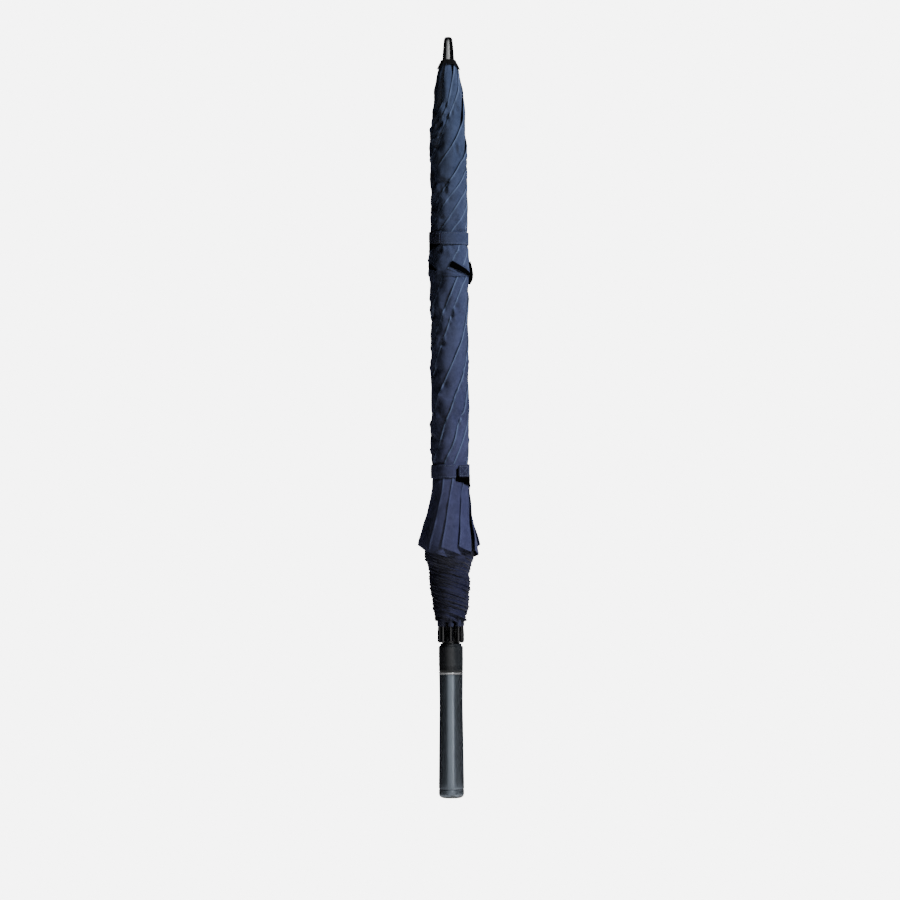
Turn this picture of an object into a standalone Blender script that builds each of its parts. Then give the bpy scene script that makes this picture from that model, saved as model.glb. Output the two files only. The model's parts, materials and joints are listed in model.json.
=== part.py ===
"""A long stick umbrella with a vented double canopy, furled and tied, ferrule up.

Metres, +Z up. The origin is the middle of the flat under the handle's end cap.
The umbrella is drawn closed. Rib 1 faces -Y and the others follow every 45 degrees.
Each moving piece hangs on an empty whose origin is on its joint's axis.
"""

from math import cos, pi, radians, sin, tau

import bmesh
import bpy
from mathutils import Matrix, Vector

# ---- driving dimensions -------------------------------------------------
TOTAL_HEIGHT = 1.000
RIBS = 8
RIB_STEP = tau / RIBS
FIRST_RIB = -pi / 2
GAP = 0.0003  # kept between pieces that touch on the real umbrella

HANDLE_TOP = 0.1660
FERRULE_BASE = 0.9683
SHAFT_R = 0.0060
SHAFT_BORE_R = 0.0048
SLIDING_R = SHAFT_R + GAP  # bore of whatever goes over the shaft

RIB_PIVOT_R = 0.0094  # the ribs turn on a circle of this radius, at the notch
RIB_PIVOT_Z = 0.9555
STRETCHER = 0.360  # also the distance from the rib's hinge to the stretcher's pin
RUNNER_PIVOT_Z = RIB_PIVOT_Z - 2 * STRETCHER

RIB_ROD_R = 0.0126  # where the closed rib's middle lies
RIB_DEPTH = 0.0028
RIB_WIDTH = 0.0020
RIB_END_Z = 0.2295
TIP_RING_R = 0.0143
TIP_R = 0.0033
TIP_END_Z = 0.2035

STRETCHER_DEPTH = 0.0024
STRETCHER_WIDTH = 0.0016
STRETCHER_SIDE = 0.0021  # it runs beside its rib, this far from the rib's middle plane
EYE_R = 0.0013  # round ends of ribs and stretchers

CROWN_R = 0.0109  # notch and runner crown
CROWN_HALF = 0.0035
SLOT_FLOOR_R = 0.0077

RUNNER_BOTTOM = HANDLE_TOP + 2 * GAP
RUNNER_SLEEVE_R = 0.0074
RUNNER_GRIP_R = 0.0161
RUNNER_GRIP_TOP = 0.2000
RUNNER_TRAVEL = 0.4503

CATCH_AZIMUTH = FIRST_RIB + 4 * RIB_STEP + radians(35.4)  # between two stretchers, at the back
CATCH_WIDTH = 0.0020
CATCH_SLOT = CATCH_WIDTH + 4 * GAP

PANEL_SIDE_GAP = radians(0.7)  # each side of a panel's 45 degree sector
PANEL_INSIDE_R = 0.0148
VENT_HEM_Z = 0.6900
MAIN_PANEL_TOP = 0.7900

# The silhouette of the furled cloth, as (height, radius), from the rib tips to the top.
MAIN_OUTSIDE = [
    (0.2300, 0.0196), (0.2460, 0.0228), (0.2720, 0.0252), (0.3000, 0.0266), (0.3120, 0.0345),
    (0.3200, 0.0412), (0.3290, 0.0424), (0.3440, 0.0400), (0.3640, 0.0350), (0.3900, 0.0292),
    (0.4150, 0.0254), (0.4180, 0.0243), (0.4420, 0.0243), (0.4700, 0.0250), (0.5700, 0.0241),
    (0.6600, 0.0250), (0.6850, 0.0262), (0.6870, 0.0205), (MAIN_PANEL_TOP, 0.0200),
]
VENT_OUTSIDE = [
    (VENT_HEM_Z, 0.0278), (0.7080, 0.0272), (0.7230, 0.0252), (0.7240, 0.0242), (0.7420, 0.0240),
    (0.7430, 0.0240), (0.8640, 0.0236), (0.8900, 0.0222), (0.9220, 0.0198), (0.9430, 0.0166),
    (0.9580, 0.0136),
]
MAIN_INSIDE = [(0.2300, PANEL_INSIDE_R), (MAIN_PANEL_TOP, PANEL_INSIDE_R)]
VENT_INSIDE = [
    (VENT_HEM_Z, 0.0209), (0.7940, 0.0206), (0.8040, PANEL_INSIDE_R), (0.9410, PANEL_INSIDE_R),
    (0.9490, 0.0132), (0.9580, 0.0118),
]
PANEL_FACETS = 3

BAND_THICKNESS = 0.0008
LOWER_BAND = (0.4200, 0.4400)
UPPER_BAND = (0.7245, 0.7415)
BAND_INSIDE_R = 0.0247
TAB_INSIDE_R = BAND_INSIDE_R + BAND_THICKNESS + GAP
TAB_THICKNESS = 0.0010


# ---- materials ----------------------------------------------------------
def material(name, colour, roughness, metallic=0.0):
    made = bpy.data.materials.new(name)
    made.use_nodes = True
    shader = made.node_tree.nodes["Principled BSDF"]
    shader.inputs["Base Color"].default_value = (*colour, 1.0)
    shader.inputs["Roughness"].default_value = roughness
    shader.inputs["Metallic"].default_value = metallic
    made.diffuse_color = (*colour, 1.0)
    return made


def make_materials():
    return {
        "canopy": material("canopy_cloth", (0.045, 0.060, 0.135), 0.70),
        "band": material("band_cloth", (0.040, 0.055, 0.120), 0.75),
        "trim": material("black_trim", (0.012, 0.012, 0.014), 0.80),
        "plastic": material("black_plastic", (0.015, 0.015, 0.017), 0.30),
        "frame": material("black_frame", (0.025, 0.025, 0.028), 0.35, 0.6),
        "handle": material("gunmetal_lacquer", (0.115, 0.135, 0.155), 0.30, 0.75),
        "bright": material("polished_metal", (0.55, 0.56, 0.58), 0.12, 1.0),
        "cap": material("dark_end_cap", (0.030, 0.032, 0.036), 0.40),
    }


# ---- making shapes ------------------------------------------------------
def add_object(name, mesh, parent=None, paint=None):
    made = bpy.data.objects.new(name, mesh)
    bpy.context.collection.objects.link(made)
    if parent:
        made.parent = parent
    if paint and not mesh.materials:
        mesh.materials.append(paint)
    return made


def joint_empty(name, place, turn=0.0):
    made = bpy.data.objects.new(name, None)
    made.empty_display_size = 0.01
    made.location = place
    made.rotation_euler.z = turn
    bpy.context.collection.objects.link(made)
    return made


def mesh_from(bm, name, smooth=True):
    bmesh.ops.recalc_face_normals(bm, faces=bm.faces)
    mesh = bpy.data.meshes.new(name)
    bm.to_mesh(mesh)
    bm.free()
    if smooth:
        mesh.shade_smooth()
        mesh.set_sharp_from_angle(angle=radians(35))
    return mesh


def turned_mesh(name, outline, steps, closed=True):
    """Spins an outline of (radius, height) points round Z. An open outline starts and ends on the axis."""
    bm = bmesh.new()
    points = [bm.verts.new((r, 0.0, z)) for r, z in outline]
    for first, second in zip(points, points[1:]):
        bm.edges.new((first, second))
    if closed:
        bm.edges.new((points[-1], points[0]))
    profile = bm.verts[:] + bm.edges[:]
    bmesh.ops.spin(
        bm, geom=profile, cent=(0, 0, 0), axis=(0, 0, 1), angle=tau, steps=steps, use_merge=True
    )
    bmesh.ops.remove_doubles(bm, verts=bm.verts[:], dist=1e-6)
    return mesh_from(bm, name)


def plate_mesh(name, outline, low, high):
    """Extrudes an outline of (x, z) points along Y, from low to high."""
    bm = bmesh.new()
    face = bm.faces.new([bm.verts.new((x, low, z)) for x, z in outline])
    pushed = bmesh.ops.extrude_face_region(bm, geom=[face])
    moved = [part for part in pushed["geom"] if isinstance(part, bmesh.types.BMVert)]
    bmesh.ops.translate(bm, verts=moved, vec=(0, high - low, 0))
    return mesh_from(bm, name)


def read_profile(profile, z):
    """Straight-line reading of (height, radius) points."""
    if z <= profile[0][0]:
        return profile[0][1]
    for (z0, r0), (z1, r1) in zip(profile, profile[1:]):
        if z <= z1:
            return r0 + (r1 - r0) * (z - z0) / (z1 - z0)
    return profile[-1][1]


def sector_mesh(name, inside, outside, start, end, facets):
    """A shell round Z between two angles, with its inner and outer radius read from two profiles."""
    heights = sorted({z for z, _ in inside} | {z for z, _ in outside})
    angles = [start + (end - start) * k / facets for k in range(facets + 1)]
    bm = bmesh.new()
    loops = []
    for z in heights:
        r_in, r_out = read_profile(inside, z), read_profile(outside, z)
        ring = [(r_in, a) for a in angles] + [(r_out, a) for a in reversed(angles)]
        loops.append([bm.verts.new((r * cos(a), r * sin(a), z)) for r, a in ring])
    count = len(loops[0])
    for low, high in zip(loops, loops[1:]):
        for k in range(count):
            bm.faces.new((low[k], low[(k + 1) % count], high[(k + 1) % count], high[k]))
    for loop in (loops[0], loops[-1]):
        for k in range(facets):
            bm.faces.new((loop[k], loop[k + 1], loop[count - 2 - k], loop[count - 1 - k]))
    return mesh_from(bm, name)


def arc(centre_x, centre_z, radius, start, end, steps):
    angles = (start + (end - start) * k / steps for k in range(steps + 1))
    return [(centre_x + radius * cos(a), centre_z + radius * sin(a)) for a in angles]


def boxes_mesh(name, boxes):
    """Boxes given as (x range, y range, z range, turn about Z), joined in one cutter mesh."""
    bm = bmesh.new()
    for xs, ys, zs, turn in boxes:
        corners = [Vector((x, y, z)) for x in xs for y in ys for z in zs]
        middle = sum(corners, Vector()) / 8
        size = corners[-1] - corners[0]
        place = Matrix.Rotation(turn, 4, "Z") @ Matrix.Translation(middle) @ Matrix.Diagonal((*size, 1.0))
        bmesh.ops.create_cube(bm, size=1.0, matrix=place)
    return mesh_from(bm, name, smooth=False)


def cut(target, name, boxes):
    cutter = add_object(name, boxes_mesh(name, boxes), target.parent)
    cutter.hide_render = True
    cutter.display_type = "WIRE"
    modifier = target.modifiers.new(name, "BOOLEAN")
    modifier.operation = "DIFFERENCE"
    modifier.solver = "EXACT"
    modifier.object = cutter


def rib_angle(number):
    return FIRST_RIB + RIB_STEP * (number - 1)


# ---- the shaft and what is fixed to it ----------------------------------
def make_shaft(paint):
    low, high = 0.0300, RIB_PIVOT_Z + CROWN_HALF
    outline = [(SHAFT_BORE_R, low), (SHAFT_R, low), (SHAFT_R, high), (SHAFT_BORE_R, high)]
    shaft = add_object("shaft", turned_mesh("shaft", outline, 24), paint=paint["frame"])
    windows = [
        (
            (SHAFT_BORE_R - 0.0008, SHAFT_R + 0.001),
            (-CATCH_SLOT / 2, CATCH_SLOT / 2),
            (low, high),
            CATCH_AZIMUTH,
        )
        for low, high in (catch_window(bottom) for bottom in CATCH_BOTTOMS.values())
    ]
    cut(shaft, "cutter_catch_windows", windows)


def make_ferrule(paint):
    stud_r = SHAFT_BORE_R - GAP
    top_r = 0.0040
    outline = [(0.0, 0.9450), (stud_r, 0.9450), (stud_r, FERRULE_BASE), (0.0077, FERRULE_BASE)]
    outline += [(0.0076, 0.9715), (0.0066, 0.9830), (0.0050, 0.9935)]
    outline += arc(0.0, TOTAL_HEIGHT - top_r, top_r, radians(20), radians(90), 5)
    outline[-1] = (0.0, TOTAL_HEIGHT)
    add_object("ferrule", turned_mesh("ferrule", outline, 24, closed=False), paint=paint["bright"])


def make_rosette(paint):
    hole, low, high = SHAFT_BORE_R + GAP, 0.9593, FERRULE_BASE - GAP
    outline = [(hole, low), (0.0128, low), (0.0132, low + 0.0012)]
    outline += [(0.0112, 0.9640), (0.0080, high), (hole, high)]
    add_object("top_rosette", turned_mesh("top_rosette", outline, 24), paint=paint["trim"])


def make_crown(name, outline, middle, slot_side, slot_half, paint, parent=None):
    """A turned piece with slots, where the rib heads or the stretcher feet sit."""
    low, high = middle - CROWN_HALF, middle + CROWN_HALF
    crown = add_object(name, turned_mesh(name, outline, 32), parent, paint=paint)
    sides = (slot_side - slot_half, slot_side + slot_half)
    deep = (SLOT_FLOOR_R, CROWN_R + 0.002)
    tall = (low - 0.001, high + 0.001)
    cut(crown, f"cutter_{name}", [(deep, sides, tall, rib_angle(n)) for n in range(1, RIBS + 1)])
    return crown


def make_notch(paint):
    low, high = RIB_PIVOT_Z - CROWN_HALF, RIB_PIVOT_Z + CROWN_HALF
    outline = [(SLIDING_R, low), (CROWN_R, low), (CROWN_R, high), (SLIDING_R, high)]
    make_crown("notch", outline, RIB_PIVOT_Z, 0.0, RIB_WIDTH / 2 + GAP, paint["plastic"])


def make_runner_stop(paint):
    low = RUNNER_PIVOT_Z + CROWN_HALF + RUNNER_TRAVEL + GAP
    high = low + 0.0025
    outline = [(SLIDING_R, low), (0.0074, low), (0.0074, high), (SLIDING_R, high)]
    add_object("runner_stop", turned_mesh("runner_stop", outline, 24), paint=paint["frame"])


# ---- handle -------------------------------------------------------------
def make_handle(paint):
    bore, socket_r, socket_top = SLIDING_R, 0.0090, 0.0280
    cap_top, ring_low = 0.0120, 0.1628
    outline = [(socket_r, cap_top), (0.0168, cap_top), (0.0166, 0.0400), (0.0163, 0.0700), (0.0157, 0.1000)]
    outline += [(0.0152, 0.1250), (0.0154, 0.1450), (0.0157, ring_low)]
    outline += [(bore, ring_low), (bore, socket_top), (socket_r, socket_top)]
    add_object("handle", turned_mesh("handle", outline, 32), paint=paint["handle"])

    ring = [(bore, ring_low + GAP), (0.0157, ring_low + GAP), (0.0161, 0.1640), (0.0159, 0.1656)]
    ring += [(0.0154, HANDLE_TOP), (bore, HANDLE_TOP)]
    add_object("handle_ring", turned_mesh("handle_ring", ring, 32), paint=paint["bright"])

    plug_r, round_r = socket_r - GAP, 0.0055
    cap = [(0.0, 0.0)]
    cap += arc(0.0167 - round_r, round_r, round_r, radians(-90), radians(0), 5)
    cap += [(0.0167, cap_top - GAP), (plug_r, cap_top - GAP), (plug_r, 0.0250), (0.0, 0.0250)]
    add_object("handle_end_cap", turned_mesh("handle_end_cap", cap, 32, closed=False), paint=paint["cap"])


# ---- runner -------------------------------------------------------------
def make_runner(paint):
    empty = joint_empty("joint_runner", (0, 0, RUNNER_PIVOT_Z))
    low, high = -CROWN_HALF, CROWN_HALF
    foot = RUNNER_BOTTOM - RUNNER_PIVOT_Z
    outline = [(SLIDING_R, foot), (RUNNER_SLEEVE_R, foot), (RUNNER_SLEEVE_R, low), (CROWN_R, low)]
    outline += [(CROWN_R, high), (SLIDING_R, high)]
    slot_half = STRETCHER_WIDTH / 2 + GAP
    runner = make_crown("runner", outline, 0.0, STRETCHER_SIDE, slot_half, paint["plastic"], empty)
    across = (-CATCH_SLOT / 2, CATCH_SLOT / 2)
    keyway = ((SHAFT_BORE_R, CROWN_R + 0.002), across, (foot - 0.001, high + 0.001))
    cut(runner, "cutter_runner_keyway", [(*keyway, CATCH_AZIMUTH)])

    top, step = RUNNER_GRIP_TOP - RUNNER_PIVOT_Z, 0.0009
    inner = CROWN_R - 0.0019
    grip = [(inner, foot), (RUNNER_GRIP_R - 0.0003, foot), (RUNNER_GRIP_R, foot + 0.0006)]
    for groove in range(3):
        z = foot + 0.0022 + groove * 2 * step
        deep = RUNNER_GRIP_R - 0.0004
        grip += [(RUNNER_GRIP_R, z), (deep, z + step / 3)]
        grip += [(deep, z + step * 2 / 3), (RUNNER_GRIP_R, z + step)]
    grip += [(RUNNER_GRIP_R, top - 0.0025), (RUNNER_GRIP_R - 0.0008, top - 0.0006)]
    grip += [(0.0140, top), (inner, top)]
    add_object("runner_grip", turned_mesh("runner_grip", grip, 32), empty, paint=paint["plastic"])


# ---- catches ------------------------------------------------------------
CATCH_BOTTOMS = {"bottom_catch": 0.2050, "top_catch": RUNNER_BOTTOM + RUNNER_TRAVEL - 0.0290}
CATCH_LENGTH = 0.0270
CATCH_PIVOT_R = 0.0030


def catch_window(bottom):
    return bottom + 0.0010, bottom + CATCH_LENGTH + 0.0015


def make_catches(paint):
    """Spring catches: flat noses that stick out of windows in the shaft and press in."""
    nose, back = 0.0078, 0.0020
    outline = [(back, 0.0), (0.0042, 0.0), (0.0050, 0.0040), (nose, CATCH_LENGTH - 0.0040)]
    outline += [(nose, CATCH_LENGTH), (0.0036, CATCH_LENGTH), (back, 0.0060)]
    local = [(x - CATCH_PIVOT_R, z) for x, z in outline]
    mesh = plate_mesh("catch", local, -CATCH_WIDTH / 2, CATCH_WIDTH / 2)
    for name, bottom in CATCH_BOTTOMS.items():
        place = (CATCH_PIVOT_R * cos(CATCH_AZIMUTH), CATCH_PIVOT_R * sin(CATCH_AZIMUTH), bottom)
        empty = joint_empty(f"joint_{name}", place, CATCH_AZIMUTH)
        add_object(name, mesh, empty, paint=paint["bright"])


# ---- ribs, tips and stretchers ------------------------------------------
def rib_outline():
    """The closed rib seen from the side, about its hinge: x outwards, z up."""
    outer = RIB_ROD_R + RIB_DEPTH / 2 - RIB_PIVOT_R
    inner = RIB_ROD_R - RIB_DEPTH / 2 - RIB_PIVOT_R
    end = RIB_END_Z - RIB_PIVOT_Z
    lug = -STRETCHER
    points = arc(0.0, 0.0, EYE_R, radians(200), radians(40), 6)
    points += [(0.0030, -0.0040), (outer, -0.0130), (outer, end), (inner, end)]
    points += [(inner, lug - 0.0055)]
    points += arc(0.0, lug, EYE_R, radians(-60), radians(-300), 6)
    points += [(inner, lug + 0.0055), (inner, -0.0150), (0.0003, -0.0050)]
    return points


def make_ribs(paint):
    rib = plate_mesh("rib", rib_outline(), -RIB_WIDTH / 2, RIB_WIDTH / 2)
    top, end = RIB_END_Z - RIB_PIVOT_Z - GAP, TIP_END_Z - RIB_PIVOT_Z
    side = TIP_RING_R - RIB_PIVOT_R
    tip_outline = [(0.0, top), (0.0026, top), (0.0030, top - 0.0030), (TIP_R, top - 0.0120)]
    tip_outline += arc(0.0, end + TIP_R, TIP_R, radians(0), radians(-90), 4)
    tip_outline[-1] = (0.0, end)
    tip = turned_mesh("rib_tip", tip_outline, 12, closed=False)
    tip.transform(Matrix.Translation((side, 0, 0)))
    for number in range(1, RIBS + 1):
        a = rib_angle(number)
        pivot = (RIB_PIVOT_R * cos(a), RIB_PIVOT_R * sin(a), RIB_PIVOT_Z)
        empty = joint_empty(f"joint_rib_{number}", pivot, a)
        add_object(f"rib_{number}", rib, empty, paint=paint["frame"])
        add_object(f"rib_tip_{number}", tip, empty, paint=paint["plastic"])


def make_stretchers(paint):
    """Flat bars from the runner's crown up to the ribs' pins."""
    half = STRETCHER_DEPTH / 2
    outline = arc(0.0, 0.0, EYE_R, radians(-20), radians(-160), 5)
    outline += [(-half, 0.0040), (-half, STRETCHER - 0.0040)]
    outline += arc(0.0, STRETCHER, EYE_R, radians(160), radians(20), 5)
    outline += [(half, STRETCHER - 0.0040), (half, 0.0040)]
    low = STRETCHER_SIDE - STRETCHER_WIDTH / 2
    mesh = plate_mesh("stretcher", outline, low, low + STRETCHER_WIDTH)
    for number in range(1, RIBS + 1):
        a = rib_angle(number)
        place = (RIB_PIVOT_R * cos(a), RIB_PIVOT_R * sin(a), RUNNER_PIVOT_Z)
        empty = joint_empty(f"joint_stretcher_{number}", place, a)
        add_object(f"stretcher_{number}", mesh, empty, paint=paint["frame"])


# ---- canopy -------------------------------------------------------------
def moved_mesh(mesh, place):
    mesh.transform(Matrix.Translation(-Vector(place)))
    return mesh


def make_canopy(paint):
    """Each panel's furled cloth, as a shell over one eighth of the roll."""
    fold_r = RIB_PIVOT_R / cos(RIB_STEP / 2)  # where two neighbouring ribs' hinge lines cross
    start, end = PANEL_SIDE_GAP, RIB_STEP - PANEL_SIDE_GAP
    middle = RIB_STEP / 2
    hinge = (fold_r * cos(middle), fold_r * sin(middle), RIB_PIVOT_Z)
    main = moved_mesh(sector_mesh("main_panel", MAIN_INSIDE, MAIN_OUTSIDE, start, end, PANEL_FACETS), hinge)
    vent = sector_mesh("vent_panel", VENT_INSIDE, VENT_OUTSIDE, start, end, PANEL_FACETS)
    vent = moved_mesh(vent, (RIB_PIVOT_R, 0, RIB_PIVOT_Z))
    for number in range(1, RIBS + 1):
        a = rib_angle(number)
        place = Matrix.Rotation(a, 4, "Z") @ Vector(hinge)
        empty = joint_empty(f"joint_panel_{number}", place, a)
        add_object(f"main_panel_{number}", main, empty, paint=paint["canopy"])
        rib_joint = bpy.data.objects[f"joint_rib_{number}"]
        add_object(f"vent_panel_{number}", vent, rib_joint, paint=paint["canopy"])


def band_mesh(name, low, high, inside, thickness, start, end, facets):
    inner = [(low, inside), (high, inside)]
    outer = [(low, inside + thickness), (high, inside + thickness)]
    return sector_mesh(name, inner, outer, start, end, facets)


# Each band: its heights, where its ring starts and ends, and where its tab is hinged and ends.
BANDS = {
    "lower": {"heights": LOWER_BAND, "ring": (-24, 330), "tab": (-22, -66)},
    "upper": {"heights": UPPER_BAND, "ring": (-166, 188), "tab": (-164, -118)},
}
TAB_INSET = 0.0008


def make_bands(paint):
    for place, band in BANDS.items():
        low, high = band["heights"]
        start, end = (radians(a) for a in band["ring"])
        ring = band_mesh(f"{place}_tie_band", low, high, BAND_INSIDE_R, BAND_THICKNESS, start, end, 30)
        add_object(f"{place}_tie_band", ring, paint=paint["band"])
        hinge, tip = (radians(a) for a in band["tab"])
        pivot = (TAB_INSIDE_R * cos(hinge), TAB_INSIDE_R * sin(hinge), low)
        start, end = min(hinge, tip), max(hinge, tip)
        tab = band_mesh(
            f"{place}_band_tab", low + TAB_INSET, high - TAB_INSET, TAB_INSIDE_R, TAB_THICKNESS, start, end, 5
        )
        empty = joint_empty(f"joint_{place}_tab", pivot)
        add_object(f"{place}_band_tab", moved_mesh(tab, pivot), empty, paint=paint["band"])


def main():
    for old in list(bpy.data.objects):
        bpy.data.objects.remove(old, do_unlink=True)
    paint = make_materials()
    make_shaft(paint)
    make_ferrule(paint)
    make_rosette(paint)
    make_notch(paint)
    make_runner_stop(paint)
    make_handle(paint)
    make_runner(paint)
    make_catches(paint)
    make_ribs(paint)
    make_stretchers(paint)
    make_canopy(paint)
    make_bands(paint)


main()
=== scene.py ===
# %% [markdown]
# # A furled stick umbrella
# The umbrella is closed, wound up and tied. Its ferrule points up and its straight handle points down.
# The frame below is the mechanical model: shaft, ribs, stretchers, runner, catches and handle. It is
# loaded first and never changed. Everything after it is cloth, trim and finish.

# %% Load the frame
import json
from math import cos, pi, radians, sin, tau

import bmesh
import bpy
import numpy as np
from mathutils import Matrix, Vector


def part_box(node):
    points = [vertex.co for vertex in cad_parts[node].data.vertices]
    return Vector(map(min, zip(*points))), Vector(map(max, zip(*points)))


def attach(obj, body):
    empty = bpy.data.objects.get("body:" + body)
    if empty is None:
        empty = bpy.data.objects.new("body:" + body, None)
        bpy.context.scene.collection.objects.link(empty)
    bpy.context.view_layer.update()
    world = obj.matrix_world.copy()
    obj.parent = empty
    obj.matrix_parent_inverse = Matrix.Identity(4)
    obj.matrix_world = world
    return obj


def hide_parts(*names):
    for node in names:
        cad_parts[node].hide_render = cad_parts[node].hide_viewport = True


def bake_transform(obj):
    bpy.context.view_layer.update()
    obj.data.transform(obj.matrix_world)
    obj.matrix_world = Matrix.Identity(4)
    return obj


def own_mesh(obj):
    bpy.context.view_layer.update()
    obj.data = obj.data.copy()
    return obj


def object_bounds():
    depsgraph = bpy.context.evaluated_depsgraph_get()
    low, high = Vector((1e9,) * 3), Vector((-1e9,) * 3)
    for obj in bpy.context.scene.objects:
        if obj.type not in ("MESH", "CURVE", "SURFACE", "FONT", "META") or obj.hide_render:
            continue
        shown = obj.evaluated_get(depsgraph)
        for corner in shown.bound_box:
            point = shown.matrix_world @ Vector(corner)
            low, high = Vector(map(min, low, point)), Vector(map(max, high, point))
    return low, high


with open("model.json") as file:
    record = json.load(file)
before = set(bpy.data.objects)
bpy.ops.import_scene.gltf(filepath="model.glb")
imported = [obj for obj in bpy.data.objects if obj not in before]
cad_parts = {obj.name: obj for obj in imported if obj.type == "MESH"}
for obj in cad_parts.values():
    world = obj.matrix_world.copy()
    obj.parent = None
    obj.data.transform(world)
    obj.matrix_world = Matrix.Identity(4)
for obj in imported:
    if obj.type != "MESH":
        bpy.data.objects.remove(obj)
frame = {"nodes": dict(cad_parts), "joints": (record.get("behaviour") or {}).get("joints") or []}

cad_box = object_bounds()
joints = {joint["name"]: joint for joint in frame["joints"]}
print("frame", [round(side, 3) for side in cad_box[1] - cad_box[0]])

# %% [markdown]
# ## Sizes
# Everything is measured from the frame. Heights are world Z in metres. Azimuth is an angle about the
# shaft: zero faces the viewer, and it grows to the viewer's right.

# %% Sizes read from the frame
RIBS = 8
STEP = tau / RIBS
hinge = Vector(joints["rib_1_hinge"]["pos_m"])
APEX = hinge.z
ROD_OUTSIDE = -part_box("rib_1")[0].y
CLOTH_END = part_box("rib_tip_1")[1].z + 0.0005
LOWER_BAND = (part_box("lower_tie_band")[0].z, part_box("lower_tie_band")[1].z)
UPPER_BAND = (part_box("upper_tie_band")[0].z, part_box("upper_tie_band")[1].z)
HANDLE_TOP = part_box("handle_ring")[1].z
TOTAL = cad_box[1].z
MM = 0.001


def place(radius, azimuth, height):
    """Points on a cylinder about the shaft, as an array of x, y, z."""
    radius, azimuth, height = np.broadcast_arrays(radius, azimuth, height)
    return np.stack([radius * np.sin(azimuth), -radius * np.cos(azimuth), height], axis=-1)


print(f"apex {APEX:.4f}, ribs end at {CLOTH_END:.4f}, rods reach out to {ROD_OUTSIDE * 1000:.1f} mm")

# %% [markdown]
# ## Camera, light and floor
# A long lens from mid height keeps the shaft straight. The key light stands high to the right, so the
# right of every fold is lit and the left side falls into deep shade. It would burn a hard stripe into the
# metal, so it is hidden from reflections, and two dim panels that only reflections see take its place.
# The background is pale only to the camera, because a pale room all round would fill the shade.

# %% Camera
VIEW_HEIGHT = 1.1826
DISTANCE = 4.5
EYE_HEIGHT = 0.457
ROLL = radians(0.26)
camera_data = bpy.data.cameras.new("camera")
camera_data.sensor_width = 36.0
camera_data.lens = camera_data.sensor_width * DISTANCE / VIEW_HEIGHT
camera = bpy.data.objects.new("camera", camera_data)
camera.location = (0.0, -DISTANCE, EYE_HEIGHT)
camera.rotation_euler = (pi / 2, ROLL, 0.0)
bpy.context.scene.collection.objects.link(camera)
bpy.context.scene.camera = camera
print(f"lens {camera_data.lens:.1f} mm at {DISTANCE} m")


# %% Lights
def area_light(name, location, target, width, height, power, colour=(1.0, 1.0, 1.0)):
    data = bpy.data.lights.new(name, "AREA")
    data.shape = "RECTANGLE"
    data.size, data.size_y = width, height
    data.energy, data.color = power, colour
    lamp = bpy.data.objects.new(name, data)
    lamp.location = location
    lamp.rotation_euler = (Vector(target) - Vector(location)).to_track_quat("-Z", "Y").to_euler()
    bpy.context.scene.collection.objects.link(lamp)
    return lamp


key = area_light("key_light", (2.38, -1.30, 2.35), (0, 0, 0.50), 0.5, 0.8, 215, (1.0, 0.99, 0.98))
key.visible_glossy = False
gleam = area_light("gleam_panel", (0.95, -2.85, 0.95), (0, 0, 0.50), 0.45, 2.6, 15)
card = area_light("reflection_card", (-0.35, -2.90, 0.90), (0, 0, 0.55), 2.9, 2.6, 24)
gleam.visible_diffuse = False
card.visible_diffuse = False
area_light("back_panel", (0.5, 2.7, 2.5), (0, 0, 0.5), 1.6, 1.6, 60)
print("four lights")

# %% World and floor
SEEN_STRENGTH, LIT_STRENGTH = 7.0, 0.014
world = bpy.data.worlds.new("pale_room")
world.use_nodes = True
bpy.context.scene.world = world
nodes, links = world.node_tree.nodes, world.node_tree.links
nodes.clear()
seen = nodes.new("ShaderNodeBackground")
seen.inputs["Color"].default_value = (0.93, 0.93, 0.93, 1.0)
seen.inputs["Strength"].default_value = SEEN_STRENGTH
lit = nodes.new("ShaderNodeBackground")
lit.inputs["Color"].default_value = (0.80, 0.86, 1.0, 1.0)
lit.inputs["Strength"].default_value = LIT_STRENGTH
rays = nodes.new("ShaderNodeLightPath")
either = nodes.new("ShaderNodeMixShader")
output = nodes.new("ShaderNodeOutputWorld")
links.new(rays.outputs["Is Camera Ray"], either.inputs["Fac"])
links.new(lit.outputs[0], either.inputs[1])
links.new(seen.outputs[0], either.inputs[2])
links.new(either.outputs[0], output.inputs["Surface"])

FLOOR_DROP = 0.35
FLOOR_R = 1.5
floor_mesh = bmesh.new()
bmesh.ops.create_circle(floor_mesh, cap_ends=True, segments=96, radius=FLOOR_R)
floor_data = bpy.data.meshes.new("floor")
floor_mesh.to_mesh(floor_data)
floor_mesh.free()
floor = bpy.data.objects.new("floor", floor_data)
floor.location.z = -FLOOR_DROP
bpy.context.scene.collection.objects.link(floor)
print("pale room, with a floor", FLOOR_DROP, "m below the handle")

# %% [markdown]
# ## Writing node trees as expressions
# Materials and Geometry Nodes are both graphs. `Value` wraps one socket so that arithmetic on it adds
# Math nodes, and `Graph.add` makes any other node from its type, its settings and its inputs.


# %% Graph and Value
class Value:
    """One socket of a graph. Arithmetic with numbers or other values adds Math nodes."""

    def __init__(self, graph, socket):
        self.graph, self.socket = graph, socket

    def math(self, operation, *terms):
        """A Math node on any number of terms."""
        return self.graph.add("ShaderNodeMath", {"operation": operation}, terms)

    def sine(self):
        return self.math("SINE", self)

    def clamped(self):
        return self.graph.add("ShaderNodeClamp", {}, [self])

    def pick(self, name):
        """Another output of the same node."""
        return Value(self.graph, self.socket.node.outputs[name])


def operator(operation, swapped=False):
    def run(self, other):
        terms = (other, self) if swapped else (self, other)
        return self.math(operation, *terms)

    return run


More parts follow.
